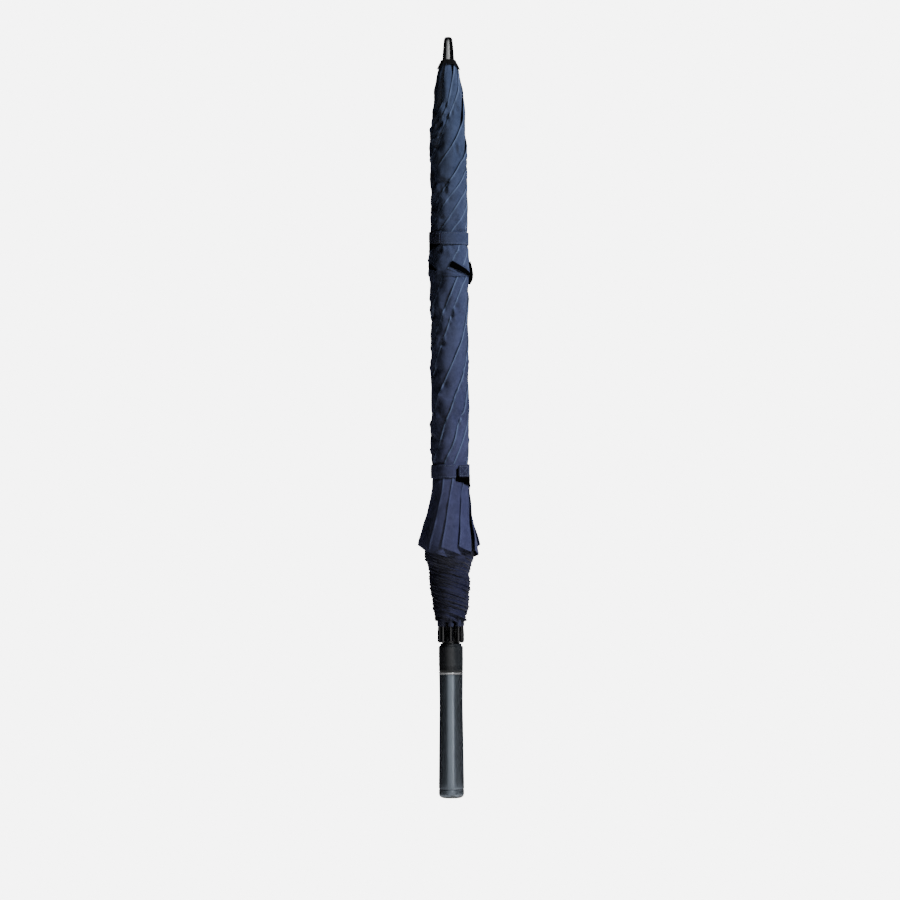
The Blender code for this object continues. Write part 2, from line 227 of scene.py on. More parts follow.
for word, operation in (("add", "ADD"), ("sub", "SUBTRACT"), ("mul", "MULTIPLY"), ("truediv", "DIVIDE")):
    setattr(Value, f"__{word}__", operator(operation))
    setattr(Value, f"__r{word}__", operator(operation, swapped=True))


class Graph:
    """A node tree that grows by calls to add."""

    def __init__(self, tree):
        self.tree = tree

    def add(self, kind, settings=None, inputs=()):
        node = self.tree.nodes.new(kind)
        for name, setting in (settings or {}).items():
            setattr(node, name, setting)
        pairs = inputs.items() if isinstance(inputs, dict) else enumerate(inputs)
        for key, given in pairs:
            if isinstance(given, Value):
                self.tree.links.new(given.socket, node.inputs[key])
            else:
                node.inputs[key].default_value = given
        return Value(self, node.outputs[0]) if node.outputs else None

    def noise(self, where, scale, detail=2.0, rough=0.5):
        inputs = {"Vector": where, "Scale": scale, "Detail": detail, "Roughness": rough}
        return self.add("ShaderNodeTexNoise", {}, inputs)

    def mix(self, factor, first, second):
        """A colour between two colours."""
        node = self.add("ShaderNodeMix", {"data_type": "RGBA"}, {"Factor": factor}).socket.node
        for socket, given in ((node.inputs[6], first), (node.inputs[7], second)):
            if isinstance(given, Value):
                self.tree.links.new(given.socket, socket)
            else:
                socket.default_value = (*given, 1.0)
        return Value(self, node.outputs[2])


class Finish(Graph):
    """A material with one Principled shader. fixed holds its constants by socket name."""

    def __init__(self, name, fixed=None):
        self.material = bpy.data.materials.new(name)
        self.material.use_nodes = True
        super().__init__(self.material.node_tree)
        self.shader = self.tree.nodes["Principled BSDF"]
        for key, number in (fixed or {}).items():
            self.shader.inputs[key].default_value = number
        self.where = self.add("ShaderNodeTexCoord").pick("Object")
        self.height = self.add("ShaderNodeSeparateXYZ", {}, [self.where]).pick("Z")

    def stretched(self, across, along):
        """The object's coordinates scaled, for grain that runs along the shaft."""
        scale = (across, across, along)
        return self.add("ShaderNodeMapping", {}, {"Vector": self.where, "Scale": scale})

    def speckle(self, scale, detail=2.0, rough=0.5):
        """Noise that stays fixed to the object."""
        return self.noise(self.where, scale, detail, rough).pick("Fac")

    def feed(self, key, given):
        if isinstance(given, Value):
            self.tree.links.new(given.socket, self.shader.inputs[key])
        else:
            self.shader.inputs[key].default_value = (*given, 1.0) if hasattr(given, "__len__") else given

    def bump(self, height, distance, strength=1.0):
        inputs = {"Strength": strength, "Distance": distance, "Height": height}
        self.feed("Normal", self.add("ShaderNodeBump", {}, inputs))


print("graph helpers ready")

# %% [markdown]
# ## Cloth finish
# The canopy is pongee, a plain weave of fine polyester threads with a soft shine. Its weave is drawn on
# each piece's own UV map, whose units are metres, so the threads follow the cloth round the roll. Along
# the edge of each long fold the colour is painted paler, a painted highlight, and the mesh carries its
# strength in an attribute called fold. Another, called under, marks cloth in the skirt that lies beneath
# the outer flaps and their hems, which gets painted shade, a darker colour.


# %% Cloth colours, as pairs of darker and lighter
INDIGO = ((0.017, 0.019, 0.050), (0.060, 0.066, 0.150))
STEEL_BLUE = ((0.014, 0.021, 0.047), (0.058, 0.080, 0.150))
DARK_NAVY = ((0.008, 0.009, 0.024), (0.030, 0.034, 0.075))
# Painted shade: the darker colour of cloth lying under the skirt's flaps and hems.
PAINTED_SHADE_UNDER_HEMS = ((0.002, 0.0022, 0.008), (0.028, 0.030, 0.075))
JET = ((0.0015, 0.0015, 0.002), (0.006, 0.006, 0.007))
# Painted highlight: the paler colour laid along folded edges.
PAINTED_FOLD_HIGHLIGHT = (0.115, 0.160, 0.280)
print("five pairs of cloth colours")


# %% Cloth materials
def cloth_finish(name, low, high, fold_highlight, thread=0.45 * MM, roughness=0.62):
    """low and high are pairs of colours for the foot and the head. fold_highlight is the painted highlight
    colour along folds.
    """
    finish = Finish(name, {"Sheen Weight": 0.05, "Sheen Roughness": 0.4, "Specular IOR Level": 0.28})
    uv = finish.add("ShaderNodeUVMap", {"uv_map": "cloth"})
    split = finish.add("ShaderNodeSeparateXYZ", {}, [uv])
    across, along = split.pick("X"), split.pick("Y")
    weave = (across * (tau / thread)).sine() * (along * (tau / thread)).sine() * 0.5 + 0.5
    slub = finish.noise(uv, 900.0, 3.0).pick("Fac")
    patches = finish.speckle(26.0, 4.0, 0.6)
    dust = finish.speckle(160.0, 3.0, 0.65)
    fold = finish.add("ShaderNodeAttribute", {"attribute_name": "fold"}).pick("Fac")
    light = ((patches - 0.5) * 1.1 + (dust - 0.5) * 0.6 + (slub - 0.5) * 0.25 + 0.40).clamped()
    rise = ((finish.height - 0.40) * 2.2).clamped()
    # Painted shade: under mixes in a darker colour where cloth lies beneath the skirt's flaps and hems.
    under = finish.add("ShaderNodeAttribute", {"attribute_name": "under"}).pick("Fac")
    plain = finish.mix(rise, finish.mix(light, *low), finish.mix(light, *high))
    plain = finish.mix(under, plain, finish.mix(light, *PAINTED_SHADE_UNDER_HEMS))
    # Painted highlight: fold mixes in the paler colour along folded edges.
    finish.feed("Base Color", finish.mix((fold * 0.62).clamped(), plain, fold_highlight))
    finish.feed("Roughness", (patches - 0.5) * 0.25 + roughness)
    finish.bump(weave * 0.6 + slub * 0.4 + dust * 0.8, 0.12 * MM, 0.5)
    return finish.material


CANOPY = cloth_finish("navy_pongee", INDIGO, STEEL_BLUE, PAINTED_FOLD_HIGHLIGHT)
BAND = cloth_finish("navy_band", INDIGO, STEEL_BLUE, PAINTED_FOLD_HIGHLIGHT, 0.6 * MM)
TAB = cloth_finish("navy_tab", DARK_NAVY, DARK_NAVY, PAINTED_FOLD_HIGHLIGHT, 0.6 * MM)
ROSETTE = cloth_finish("black_gathered_cloth", JET, JET, (0.02, 0.02, 0.022), 0.6 * MM, 0.8)
print("cloths:", CANOPY.name, BAND.name, TAB.name, ROSETTE.name)


# %% Elastic, thread, and black pile that also lays painted shade
def elastic_finish():
    finish = Finish("black_elastic", {"Specular IOR Level": 0.04})
    uv = finish.add("ShaderNodeUVMap", {"uv_map": "cloth"})
    split = finish.add("ShaderNodeSeparateXYZ", {}, [uv])
    cords = (split.pick("X") * (tau / (0.9 * MM))).sine() * 0.5 + 0.5
    fluff = finish.speckle(1500.0, 2.0)
    tone = finish.mix(cords * 0.7 + fluff * 0.3, (0.0002, 0.0002, 0.0003), (0.0012, 0.0012, 0.0015))
    finish.feed("Base Color", tone)
    finish.feed("Roughness", fluff * 0.2 + 0.7)
    finish.bump(cords + fluff * 0.4, 0.25 * MM, 0.8)
    return finish.material


def thread_finish():
    finish = Finish("navy_thread", {"Sheen Weight": 0.2})
    lay = finish.speckle(2500.0, 2.0)
    finish.feed("Base Color", finish.mix(lay, (0.035, 0.046, 0.100), (0.110, 0.135, 0.230)))
    finish.feed("Roughness", lay * 0.3 + 0.5)
    finish.bump(lay, 0.1 * MM, 0.5)
    return finish.material


def pile_and_shade_finish():
    finish = Finish("black_pile_and_shade", {"Specular IOR Level": 0.03})
    grain = finish.speckle(1800.0, 3.0)
    finish.feed("Base Color", finish.mix(grain, (0.0001, 0.0001, 0.0001), (0.0009, 0.0009, 0.0010)))
    finish.feed("Roughness", grain * 0.25 + 0.6)
    finish.bump(grain, 0.3 * MM, 0.8)
    return finish.material


ELASTIC, THREAD, BLACK_PILE_AND_SHADE = elastic_finish(), thread_finish(), pile_and_shade_finish()
print("trims:", ELASTIC.name, THREAD.name, BLACK_PILE_AND_SHADE.name)

# %% [markdown]
# ## Hard finishes
# Moulded black plastic has a fine orange peel and a few rubbed spots. The handle wears a satin gunmetal
# lacquer with metallic flake, scuffed towards its end and darker on the rounded rim at its foot. The
# ferrule is dark polished metal. Rods and stretchers are black with a drawn grain along their length.


# %% Hard materials
def plastic_finish(name, dark, rubbed, roughness, peel=0.05 * MM):
    finish = Finish(name, {"Specular IOR Level": 0.5})
    skin = finish.speckle(900.0, 2.0)
    wear = finish.speckle(70.0, 5.0, 0.65)
    worn = ((wear - 0.56) * 6.0).clamped()
    finish.feed("Base Color", finish.mix(worn, dark, rubbed))
    finish.feed("Roughness", worn * 0.18 + (skin - 0.5) * 0.08 + roughness)
    finish.bump(skin, peel, 0.4)
    return finish.material


def lacquer_finish():
    fixed = {"Coat Weight": 0.35, "Coat Roughness": 0.16, "Specular IOR Level": 0.5}
    finish = Finish("gunmetal_lacquer", fixed)
    flake = finish.speckle(2600.0, 2.0)
    cloud = finish.speckle(34.0, 3.0)
    hairs = finish.noise(finish.stretched(900.0, 25.0), 1.0, 3.0, 0.6).pick("Fac")
    specks = finish.speckle(210.0, 5.0, 0.7)
    low = 1 - (finish.height / 0.035).clamped()
    # rim darkens a smooth band round the rounded foot of the handle and its cap.
    rim = 1 - ((finish.height - 0.001) / 0.0045).clamped()
    scuffs = ((specks - 0.62 + low * 0.10 + rim * 0.2) * 9.0).clamped()
    scuffs_and_dark_foot = (scuffs * (low * 0.5 + 0.15) + rim * 0.5).clamped()
    tone = finish.mix((flake * 0.6 + cloud * 0.4).clamped(), (0.120, 0.142, 0.172), (0.225, 0.262, 0.310))
    finish.feed("Base Color", finish.mix(scuffs_and_dark_foot, tone, (0.035, 0.038, 0.042)))
    finish.feed("Metallic", 0.95 - scuffs * 0.5)
    finish.feed("Roughness", (flake - 0.5) * 0.12 + (hairs - 0.5) * 0.16 + scuffs * 0.15 + 0.34)
    finish.bump(flake * 0.5 + hairs * 0.5 - scuffs * 0.8, 0.04 * MM, 0.35)
    return finish.material


def metal_finish(name, dark, bright, roughness, grain_along=30.0):
    finish = Finish(name)
    grain = finish.noise(finish.stretched(1400.0, grain_along), 1.0, 3.0, 0.6).pick("Fac")
    cloud = finish.speckle(120.0, 3.0)
    finish.feed("Base Color", finish.mix((cloud * 0.7 + grain * 0.3).clamped(), dark, bright))
    finish.feed("Metallic", 1.0)
    finish.feed("Roughness", (grain - 0.5) * 0.14 + (cloud - 0.5) * 0.1 + roughness)
    finish.bump(grain, 0.01 * MM, 0.3)
    return finish.material


def floor_finish():
    finish = Finish("pale_floor", {"Roughness": 0.9})
    tint = finish.speckle(3.0, 2.0)
    finish.feed("Base Color", finish.mix(tint, (0.88, 0.88, 0.88), (0.92, 0.92, 0.92)))
    return finish.material


BLACK = plastic_finish("moulded_black", (0.008, 0.008, 0.009), (0.030, 0.030, 0.032), 0.26)
GRIP = plastic_finish("runner_black", (0.011, 0.013, 0.016), (0.028, 0.031, 0.036), 0.42)
TIP = plastic_finish("tip_black", (0.003, 0.003, 0.004), (0.012, 0.012, 0.014), 0.12)
LACQUER = lacquer_finish()
POLISHED = metal_finish("dark_polished_metal", (0.20, 0.205, 0.21), (0.36, 0.37, 0.38), 0.24)
RING_METAL = metal_finish("bright_ring", (0.55, 0.56, 0.58), (0.75, 0.76, 0.78), 0.16, 900.0)
ROD = plastic_finish("rod_black", (0.012, 0.012, 0.014), (0.050, 0.050, 0.055), 0.32, 0.02 * MM)
SHAFT = metal_finish("shaft_lacquer", (0.020, 0.021, 0.023), (0.040, 0.042, 0.045), 0.28)
SPRING = metal_finish("spring_steel", (0.10, 0.11, 0.13), (0.22, 0.23, 0.26), 0.30)
floor.data.materials.append(floor_finish())
print(len(bpy.data.materials), "finishes so far")

# %% [markdown]
# The shaft, ribs, stretchers, runner, notch and catches are simple bars and blocks that are already right
# in the frame. Little of them shows while the umbrella is furled, so they only get a finish.

# %% Finishes on the parts of the frame that stay
KEPT = {"shaft": SHAFT, "notch": BLACK, "runner": BLACK}
for name in ("runner_stop", "top_catch", "bottom_catch"):
    KEPT[name] = SPRING
for number in range(1, RIBS + 1):
    KEPT[f"rib_{number}"] = ROD
    KEPT[f"stretcher_{number}"] = ROD
for name, finish in KEPT.items():
    part = frame["nodes"][name]
    part.data.materials.clear()
    part.data.materials.append(finish)
print(len(KEPT), "frame parts refinished")

# %% [markdown]
# ## Turned pieces
# Ferrule, handle, ring, end cap and the runner's grip are lathe work: one outline spun about the shaft.
# The frame's own versions have few sides, so each is replaced by a finer one on the same outline.


# %% Mesh helpers
def new_piece(name, mesh, material):
    piece = bpy.data.objects.new(name, mesh)
    bpy.context.scene.collection.objects.link(piece)
    mesh.materials.clear()
    mesh.materials.append(material)
    return piece


def arc(centre_r, centre_z, radius, start, end, steps):
    angles = np.radians(np.linspace(start, end, steps + 1))
    return [(centre_r + radius * cos(a), centre_z + radius * sin(a)) for a in angles]


def mm(points):
    """An outline in metres, from radii and heights in millimetres."""
    return [(radius * MM, height * MM) for radius, height in points]


def on_top(points, base):
    """An outline in metres, from radii and heights in millimetres above a base."""
    return [(radius * MM, base + height * MM) for radius, height in points]


def turned(name, outline, material, steps=96, closed=False):
    """Spins an outline of (radius, height). An open outline starts and ends on the axis."""
    shape = bmesh.new()
    points = [shape.verts.new((r, 0.0, z)) for r, z in outline]
    pairs = list(zip(points, points[1:])) + ([(points[-1], points[0])] if closed else [])
    for pair in pairs:
        shape.edges.new(pair)
    profile_parts = shape.verts[:] + shape.edges[:]
    about = {"cent": (0, 0, 0), "axis": (0, 0, 1), "angle": tau}
    bmesh.ops.spin(shape, geom=profile_parts, steps=steps, use_merge=True, **about)
    bmesh.ops.remove_doubles(shape, verts=shape.verts[:], dist=1e-6)
    bmesh.ops.recalc_face_normals(shape, faces=shape.faces)
    mesh = bpy.data.meshes.new(name)
    shape.to_mesh(mesh)
    shape.free()
    mesh.shade_smooth()
    mesh.set_sharp_from_angle(angle=radians(42))
    return new_piece(name, mesh, material)


print("lathe ready")

# %% Ferrule
ferrule_outline = mm([
    (0, 946), (4.4, 946), (4.4, 968.3), (7.6, 968.3), (7.9, 969), (7.5, 976), (6.95, 983.5), (6.4, 990),
    (5.95, 994), (5.5, 996.8), (4.9, 998.4), (3.9, 999.4), (2.2, 999.9),
])
ferrule = turned("ferrule_turned", ferrule_outline + [(0.0, TOTAL)], POLISHED)
print("ferrule", len(ferrule.data.polygons), "faces")

# %% [markdown]
# The handle is a hard foam or wooden grip under lacquer. It swells a little towards its end, so its
# radius is a short formula of height, and a bore takes the shaft. A plated ring closes its top and a cap
# with a rounded rim closes its end.

# %% Handle, ring and end cap
BORE = 6.3 * MM
WAIST = 0.122


def handle_radius(height):
    foot = max(0.0, (WAIST - height) / 0.110) ** 0.9
    head = max(0.0, (height - WAIST) / 0.04) ** 1.5
    return (15.3 + 1.45 * foot + 0.45 * head) * MM


handle_outline = mm([(9, 12.4), (16.6, 12.4), (16.75, 13.2)])
handle_outline += [(handle_radius(height), float(height)) for height in np.linspace(0.020, 0.160, 15)]
handle_outline += mm([(15.75, 162.4), (6.3, 162.4), (6.3, 28), (9, 28)])
handle = turned("handle_lacquered", handle_outline, LACQUER, closed=True)

ring_outline = mm([(6.3, 162.9), (15.6, 162.9), (15.95, 163.3), (15.5, 163.8), (15.5, 164.2)])
ring_outline += arc(15.2 * MM, 0.1650, 0.95 * MM, -50, 88, 8) + [(BORE, HANDLE_TOP)]
ring = turned("handle_ring_turned", ring_outline, RING_METAL, closed=True)

cap_outline = [(0.0, 0.0)] + arc(11.0 * MM, 5.6 * MM, 5.6 * MM, -90, 0, 12)
cap_outline += mm([(16.65, 10.8), (16.2, 11.2), (16.2, 11.9), (8.7, 11.9), (8.7, 25), (0, 25)])
end_cap = turned("handle_end_cap_turned", cap_outline, LACQUER)
print("handle widest at", round(max(r for r, _ in handle_outline) * 1000, 2), "mm from the axis")

# %% [markdown]
# The runner's grip is a moulded sleeve that the hand pushes up. Fine grooves near its foot stop the hand
# from slipping. They are cut into the outline, because they catch the light as real steps.

# %% Runner grip, with its fine grooves
grip_low, grip_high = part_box("runner_grip")[0].z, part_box("runner_grip")[1].z
GRIP_R = 16.0
GROOVE_PITCH, GROOVE_DEPTH = 1.35, 0.32
grip_outline = on_top([(9, 0), (15.6, 0), (GRIP_R, 0.5)], grip_low)
for groove in range(4):
    deep = GRIP_R - GROOVE_DEPTH
    cut = [(GRIP_R, 0), (deep, 0.2), (deep, 0.5), (GRIP_R, 0.7)]
    grip_outline += on_top(cut, grip_low + (1.9 + groove * GROOVE_PITCH) * MM)
grip_outline += on_top([
    (GRIP_R, -2.2), (15.9, -1.2), (15.3, -0.5), (14.9, -0.35), (14.5, -1.1), (14.1, -1.2), (13.9, 2.3),
    (13.4, 2.8), (10.6, 2.8), (10.5, 11), (9.8, 12), (9, 12),
], grip_high)
grip = turned("runner_grip_turned", grip_outline, GRIP, closed=True)

for piece, node, body, slot in (
    (ferrule, "ferrule", "frame", "polished_metal"),
    (handle, "handle", "frame", "gunmetal_lacquer"),
    (ring, "handle_ring", "frame", "polished_metal"),
    (end_cap, "handle_end_cap", "frame", "end_cap"),
    (grip, "runner_grip", "runner", "black_plastic"),
):
    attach(piece, body)
    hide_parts(node)
print("five turned pieces")

# %% [markdown]
# ## Rib tips
# A tip is a moulded cap on the end of a rib. It tapers slightly towards the rib and has a round end.
# The eight are the same outline, spun in place and moved out to their rib.

# %% Rib tips
TIP_RING = -(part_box("rib_tip_1")[0].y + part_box("rib_tip_1")[1].y) / 2
tip_low, tip_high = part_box("rib_tip_1")[0].z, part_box("rib_tip_1")[1].z
TIP_R = (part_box("rib_tip_1")[1].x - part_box("rib_tip_1")[0].x) / 2
tip_outline = on_top([(0, 0), (2.2, 0), (2.5, -0.4), (2.8, -6)], tip_high)
tip_outline += [(TIP_R - 0.1 * MM, tip_high - 12 * MM), (TIP_R, tip_low + TIP_R)]
tip_outline += arc(0.0, tip_low + TIP_R, TIP_R, 0, -90, 8)[1:-1] + [(0.0, tip_low)]
for number in range(1, RIBS + 1):
    tip = turned(f"rib_tip_moulded_{number}", tip_outline, TIP, steps=32)
    at = place(TIP_RING, STEP * (number - 1), 0.0)
    tip.data.transform(Matrix.Translation(Vector(at)))
    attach(tip, f"rib_{number}")
    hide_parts(f"rib_tip_{number}")
print(RIBS, "tips, each", round((tip_high - tip_low) * 1000, 1), "mm long")

# %% [markdown]
# ## How a canopy is furled
# Each panel between two ribs folds along its middle into a long double flap. The flaps are then wound
# round the roll together, all the same way. At every height a flap's folded edge is outermost, and the
# cloth runs from it under the next flap, and the next, until it reaches its rib. So each flap is one
# sheet on a spiral, and the spiral of its edge is what shows. Three rules of height describe it: how far
# the edge has turned, how many degrees of cloth are wound under it, and the radius of the roll.


# %% Reading rules of height
def profile(points, blur=4 * MM):
    """A rule of height through (height, value) points, with its corners softened."""
    heights = np.arange(points[0][0] - 0.02, points[-1][0] + 0.02, 0.5 * MM)
    values = np.interp(heights, [h for h, _ in points], [v for _, v in points])
    reach = max(1, int(blur / (0.5 * MM)))
    window = np.hanning(2 * reach + 1)
    padded_values = np.pad(values, reach, mode="edge")
    smooth = np.convolve(padded_values, window / window.sum(), mode="valid")
    return lambda height: np.interp(height, heights, smooth)


def in_degrees(points, blur=4 * MM):
    """A rule of height in radians, through (height, degrees) points."""
    return profile([(height, radians(degrees)) for height, degrees in points], blur)


def twist(anchor_height, anchor_degrees, rates):
    """How far an edge has turned at a height, from its turning rates in degrees a metre."""
    rate = profile(rates, 12 * MM)
    heights = np.arange(0.20, 0.97, 0.5 * MM)
    turned_by = np.cumsum(rate(heights)) * 0.5 * MM
    turned_by += anchor_degrees - np.interp(anchor_height, heights, turned_by)
    return lambda height: np.radians(np.interp(height, heights, turned_by))


print("rules of height ready")


# %% Ripples: seeded waves that stand for creases
class Ripples:
    """A smooth random height between about -1 and 1, made of sine waves on the roll."""

    def __init__(self, seed, across, along, waves=18):
        chance = np.random.default_rng(seed)
        direction = chance.normal(size=(waves, 3))
        direction /= np.linalg.norm(direction, axis=1)[:, None]
        stretch = chance.uniform(0.65, 1.5, waves)[:, None]
        self.push = direction * stretch * tau / np.array([across, across, along])
        self.phase = chance.uniform(0, tau, waves)

    def __call__(self, azimuth, height, radius=24 * MM):
        at = place(radius, azimuth, height)
        total = np.sin(at @ self.push.T + self.phase).sum(axis=-1)
        return total / (0.9 * np.sqrt(len(self.phase)))


BROAD = Ripples(11, 20 * MM, 46 * MM)
MIDDLE = Ripples(12, 9 * MM, 17 * MM)
FINE = Ripples(13, 5 * MM, 6 * MM)
PATCH = Ripples(14, 34 * MM, 60 * MM)
EDGE_WAVER = Ripples(15, 40 * MM, 34 * MM, 10)
print("five sets of ripples")

# %% [markdown]
# ## The two canopies as data
# The vent canopy covers the top third, and the main canopy comes out from under it. Their numbers are
# the driving dimensions of the roll: where each begins and ends, its radius, its turning, and how much
# each of the eight edges strays from an even spacing, because nobody furls an umbrella evenly.


# %% Canopy class
class Canopy:
    """One furled canopy. Its hem stands at hem_edge on the folded edges and at hem_rib on the ribs."""

    def __init__(self, name, top, hem_edge, hem_rib, hem_turn, outside, inside, turning, wound, strays):
        self.name, self.top = name, top
        self.hem_edge, self.hem_rib, self.hem_turn = hem_edge, hem_rib, hem_turn
        self.outside, self.inside = profile(outside), profile(inside)
        self.turning, self.wound, self.strays = turning, wound, strays
        self.skirt = lambda height: np.zeros_like(height)

    def edge(self, number, height):
        """Azimuth of one flap's folded edge."""
        skirt = self.skirt(height)
        azimuth = self.turning(height) + STEP * number + self.strays[number % RIBS](height)
        waver = 0.03 * (1 - 0.85 * skirt)
        azimuth = azimuth + waver * EDGE_WAVER(STEP * number + 0 * height, height)
        return azimuth - 0.30 * skirt * np.sin(azimuth)

    def between(self, azimuth, height):
        """Where a point lies between the edges on its left and right, from 0 to 1, and their gap."""
        edges = np.stack([self.edge(number, height) for number in range(RIBS)])
        left = np.mod(azimuth - edges, tau).min(axis=0)
        right = np.mod(edges - azimuth, tau).min(axis=0)
        gap = np.maximum(left + right, 1e-3)
        return left / gap, gap


def strays(table):
    """Eight rules of height, in radians, from each flap's (height, degrees) points."""
    none = [(0.2, 0.0), (0.97, 0.0)]
    return [in_degrees(table.get(number, none), 15 * MM) for number in range(RIBS)]


def level(points):
    """The same points in metres, from heights in metres and radii in millimetres."""
    return [(height, radius * MM) for height, radius in points]


print("canopy rules ready")

# %% The vent canopy's numbers
VENT = Canopy(
    "vent",
    top=0.9635,
    hem_edge=0.6975,
    hem_rib=0.6835,
    hem_turn=radians(50),
    outside=level([
        (0.668, 27.6), (0.690, 28.0), (0.702, 27.2), (0.716, 26.2), (0.726, 24.9), (0.741, 24.6),
        (0.752, 24.4), (0.860, 24.0), (0.876, 23.5), (0.890, 22.3), (0.905, 21.1), (0.922, 19.7),
        (0.933, 18.6), (0.943, 16.6), (0.951, 15.2), (0.9588, 13.3), (0.9635, 12.4),
    ]),
    inside=level([
        (0.668, 26.2), (0.700, 26.1), (0.716, 24.4), (0.735, 21.6), (0.790, 20.9), (0.806, 15.3),
        (0.938, 15.1), (0.947, 13.4), (0.9588, 11.8), (0.9635, 10.8),
    ]),
    turning=twist(0.7904, 46.0, [
        (0.20, 1450), (0.735, 1450), (0.745, 1650), (0.862, 1650), (0.895, 830), (0.97, 830),
    ]),
    wound=in_degrees([(0.66, 244), (0.70, 230), (0.80, 152), (0.90, 72), (0.96, 40)]),
    strays=strays({
        1: [(0.70, 0), (0.745, -8), (0.77, 2), (0.80, 0)],
        2: [(0.69, 8), (0.72, 2), (0.75, 0), (0.88, 0), (0.905, 26), (0.94, 4), (0.96, -10)],
        4: [(0.82, -14), (0.86, -22), (0.895, -25), (0.915, -18), (0.947, -9), (0.96, -6)],
        5: [(0.80, -8), (0.845, -9), (0.865, -13), (0.897, -5), (0.93, 0)],
        6: [(0.76, 6), (0.78, 12), (0.832, 13), (0.85, 20), (0.88, 6), (0.93, 0)],
        7: [(0.76, 2), (0.79, 4), (0.805, 7), (0.83, 10), (0.88, 0)],
    }),
)
print("vent canopy from", VENT.top, "down to", VENT.hem_edge)

# %% The main canopy's numbers
MAIN = Canopy(
    "main",
    top=0.7870,
    hem_edge=0.3300,
    hem_rib=CLOTH_END,
    hem_turn=None,
    outside=level([
        (0.2298, 20.2), (0.2430, 22.0), (0.2600, 24.6), (0.2760, 26.0), (0.2960, 28.0), (0.3060, 32.4),
        (0.3120, 36.6), (0.3180, 40.2), (0.3240, 42.2), (0.3290, 42.6), (0.3380, 41.4), (0.3490, 38.8),
        (0.3600, 36.0), (0.3700, 33.6), (0.3810, 31.4), (0.3910, 29.6), (0.4020, 27.6), (0.4180, 26.0),
        (0.4210, 24.6), (0.4400, 24.5), (0.4440, 24.9), (0.4800, 25.3), (0.5200, 25.2), (0.5600, 24.4),
        (0.6200, 24.3), (0.6500, 24.9), (0.6800, 25.9), (0.7000, 25.6), (0.7160, 23.8), (0.7350, 20.9),
        (0.7870, 20.2),
    ]),
    inside=level([(0.2298, 15.0), (0.7870, 15.2)]),
    turning=twist(0.4717, 43.0, [(0.20, 290), (0.434, 290), (0.446, 960), (0.97, 960)]),
    wound=in_degrees([(0.22, 650), (0.33, 640), (0.42, 615), (0.69, 372), (0.80, 250)]),
    strays=strays({
        0: [(0.42, 0), (0.46, -3), (0.50, 3), (0.56, 0)],
        4: [(0.55, -4), (0.60, -11), (0.643, -18), (0.67, -15), (0.69, -8)],
        5: [(0.54, 0), (0.63, 8), (0.66, 4)],
        6: [(0.43, 16), (0.466, 18), (0.495, 10), (0.526, 7), (0.576, 13), (0.62, 6)],
        7: [(0.43, 12), (0.457, 15), (0.482, 9), (0.524, 8), (0.58, 3)],
    }),
)
MAIN.skirt = profile([(0.20, 1.0), (0.405, 1.0), (0.435, 0.0), (0.80, 0.0)], 8 * MM)
print("main canopy from", MAIN.top, "down to", MAIN.hem_edge)

# %% [markdown]
# ## The shape of the roll
# All layers share one surface rule, so that a dent pushes in every layer below it and nothing pokes
# through. On the roll the cloth puffs a little between two edges. In the skirt, below the lower tie
# band, the flaps are free and lie flat like pleats. Below their hems the cloth is gathered and twisted
# towards the rib tips, in fine creases.

# %% Dents left by the hand that furled it
# Each is an azimuth in degrees, a height in metres, a half width in degrees, and a half height and a
# depth in millimetres.
DENT_DEPTH = 1.35 * MM
DENTS = [
    (-62, 0.9010, 14, 5, 1.6), (-40, 0.8690, 20, 2, 1), (-44, 0.8560, 22, 7, 2.4),
    (-30, 0.8080, 18, 4, 2), (-62, 0.8200, 16, 9, 1.8), (-48, 0.7790, 17, 6, 1.9),
    (-22, 0.7600, 13, 3, 1), (-60, 0.7520, 18, 4, 1.6), (22, 0.7560, 14, 1.6, 0.6),
    (-34, 0.6750, 22, 6, 1.3), (-52, 0.6340, 18, 8, 1.6), (-34, 0.6120, 13, 3.5, 1.1),
    (-30, 0.5960, 10, 2.5, 0.9), (-38, 0.5620, 14, 5, 1.2), (-48, 0.5400, 16, 7, 1.4),
    (-60, 0.4730, 15, 4, 2.2), (-34, 0.4600, 14, 5, 1.2), (6, 0.5235, 7, 1.3, 1.4),
    (9, 0.5275, 5, 1, 0.8), (140, 0.8400, 24, 7, 1.8), (200, 0.7900, 20, 5, 1.6),
    (165, 0.6300, 22, 8, 1.5), (110, 0.5500, 18, 6, 1.2), (215, 0.5100, 20, 7, 1.6),
]


def dents(azimuth, height):
    total = np.zeros(np.broadcast(azimuth, height).shape)
    for at, middle, half_width, half_height, depth in DENTS:
        aside = (np.mod(azimuth - radians(at) + pi, tau) - pi) / radians(half_width)
        above = (height - middle) / (half_height * MM)
        total -= DENT_DEPTH * depth * np.exp(-(aside**2) - above**2)
    return total


print(len(DENTS), "dents")


# %% The surface rule
PUFF, SLACK = 1.1 * MM, 0.5 * MM
BROAD_RIPPLE, MIDDLE_RIPPLE, FINE_RIPPLE, CREASE = 0.62 * MM, 0.85 * MM, 0.22 * MM, 0.92 * MM
COARSE_PITCH, CLOSE_PITCH = 4.6 * MM, 2.9 * MM
CONE_TOP = 0.326
BAND_REACH = 4 * MM


def in_band(height):
    """1 inside a tie band and 0 away from it."""
    away = [np.maximum(low - height, height - high) for low, high in (LOWER_BAND, UPPER_BAND)]
    return np.clip((BAND_REACH - np.minimum(*away)) / BAND_REACH, 0, 1)


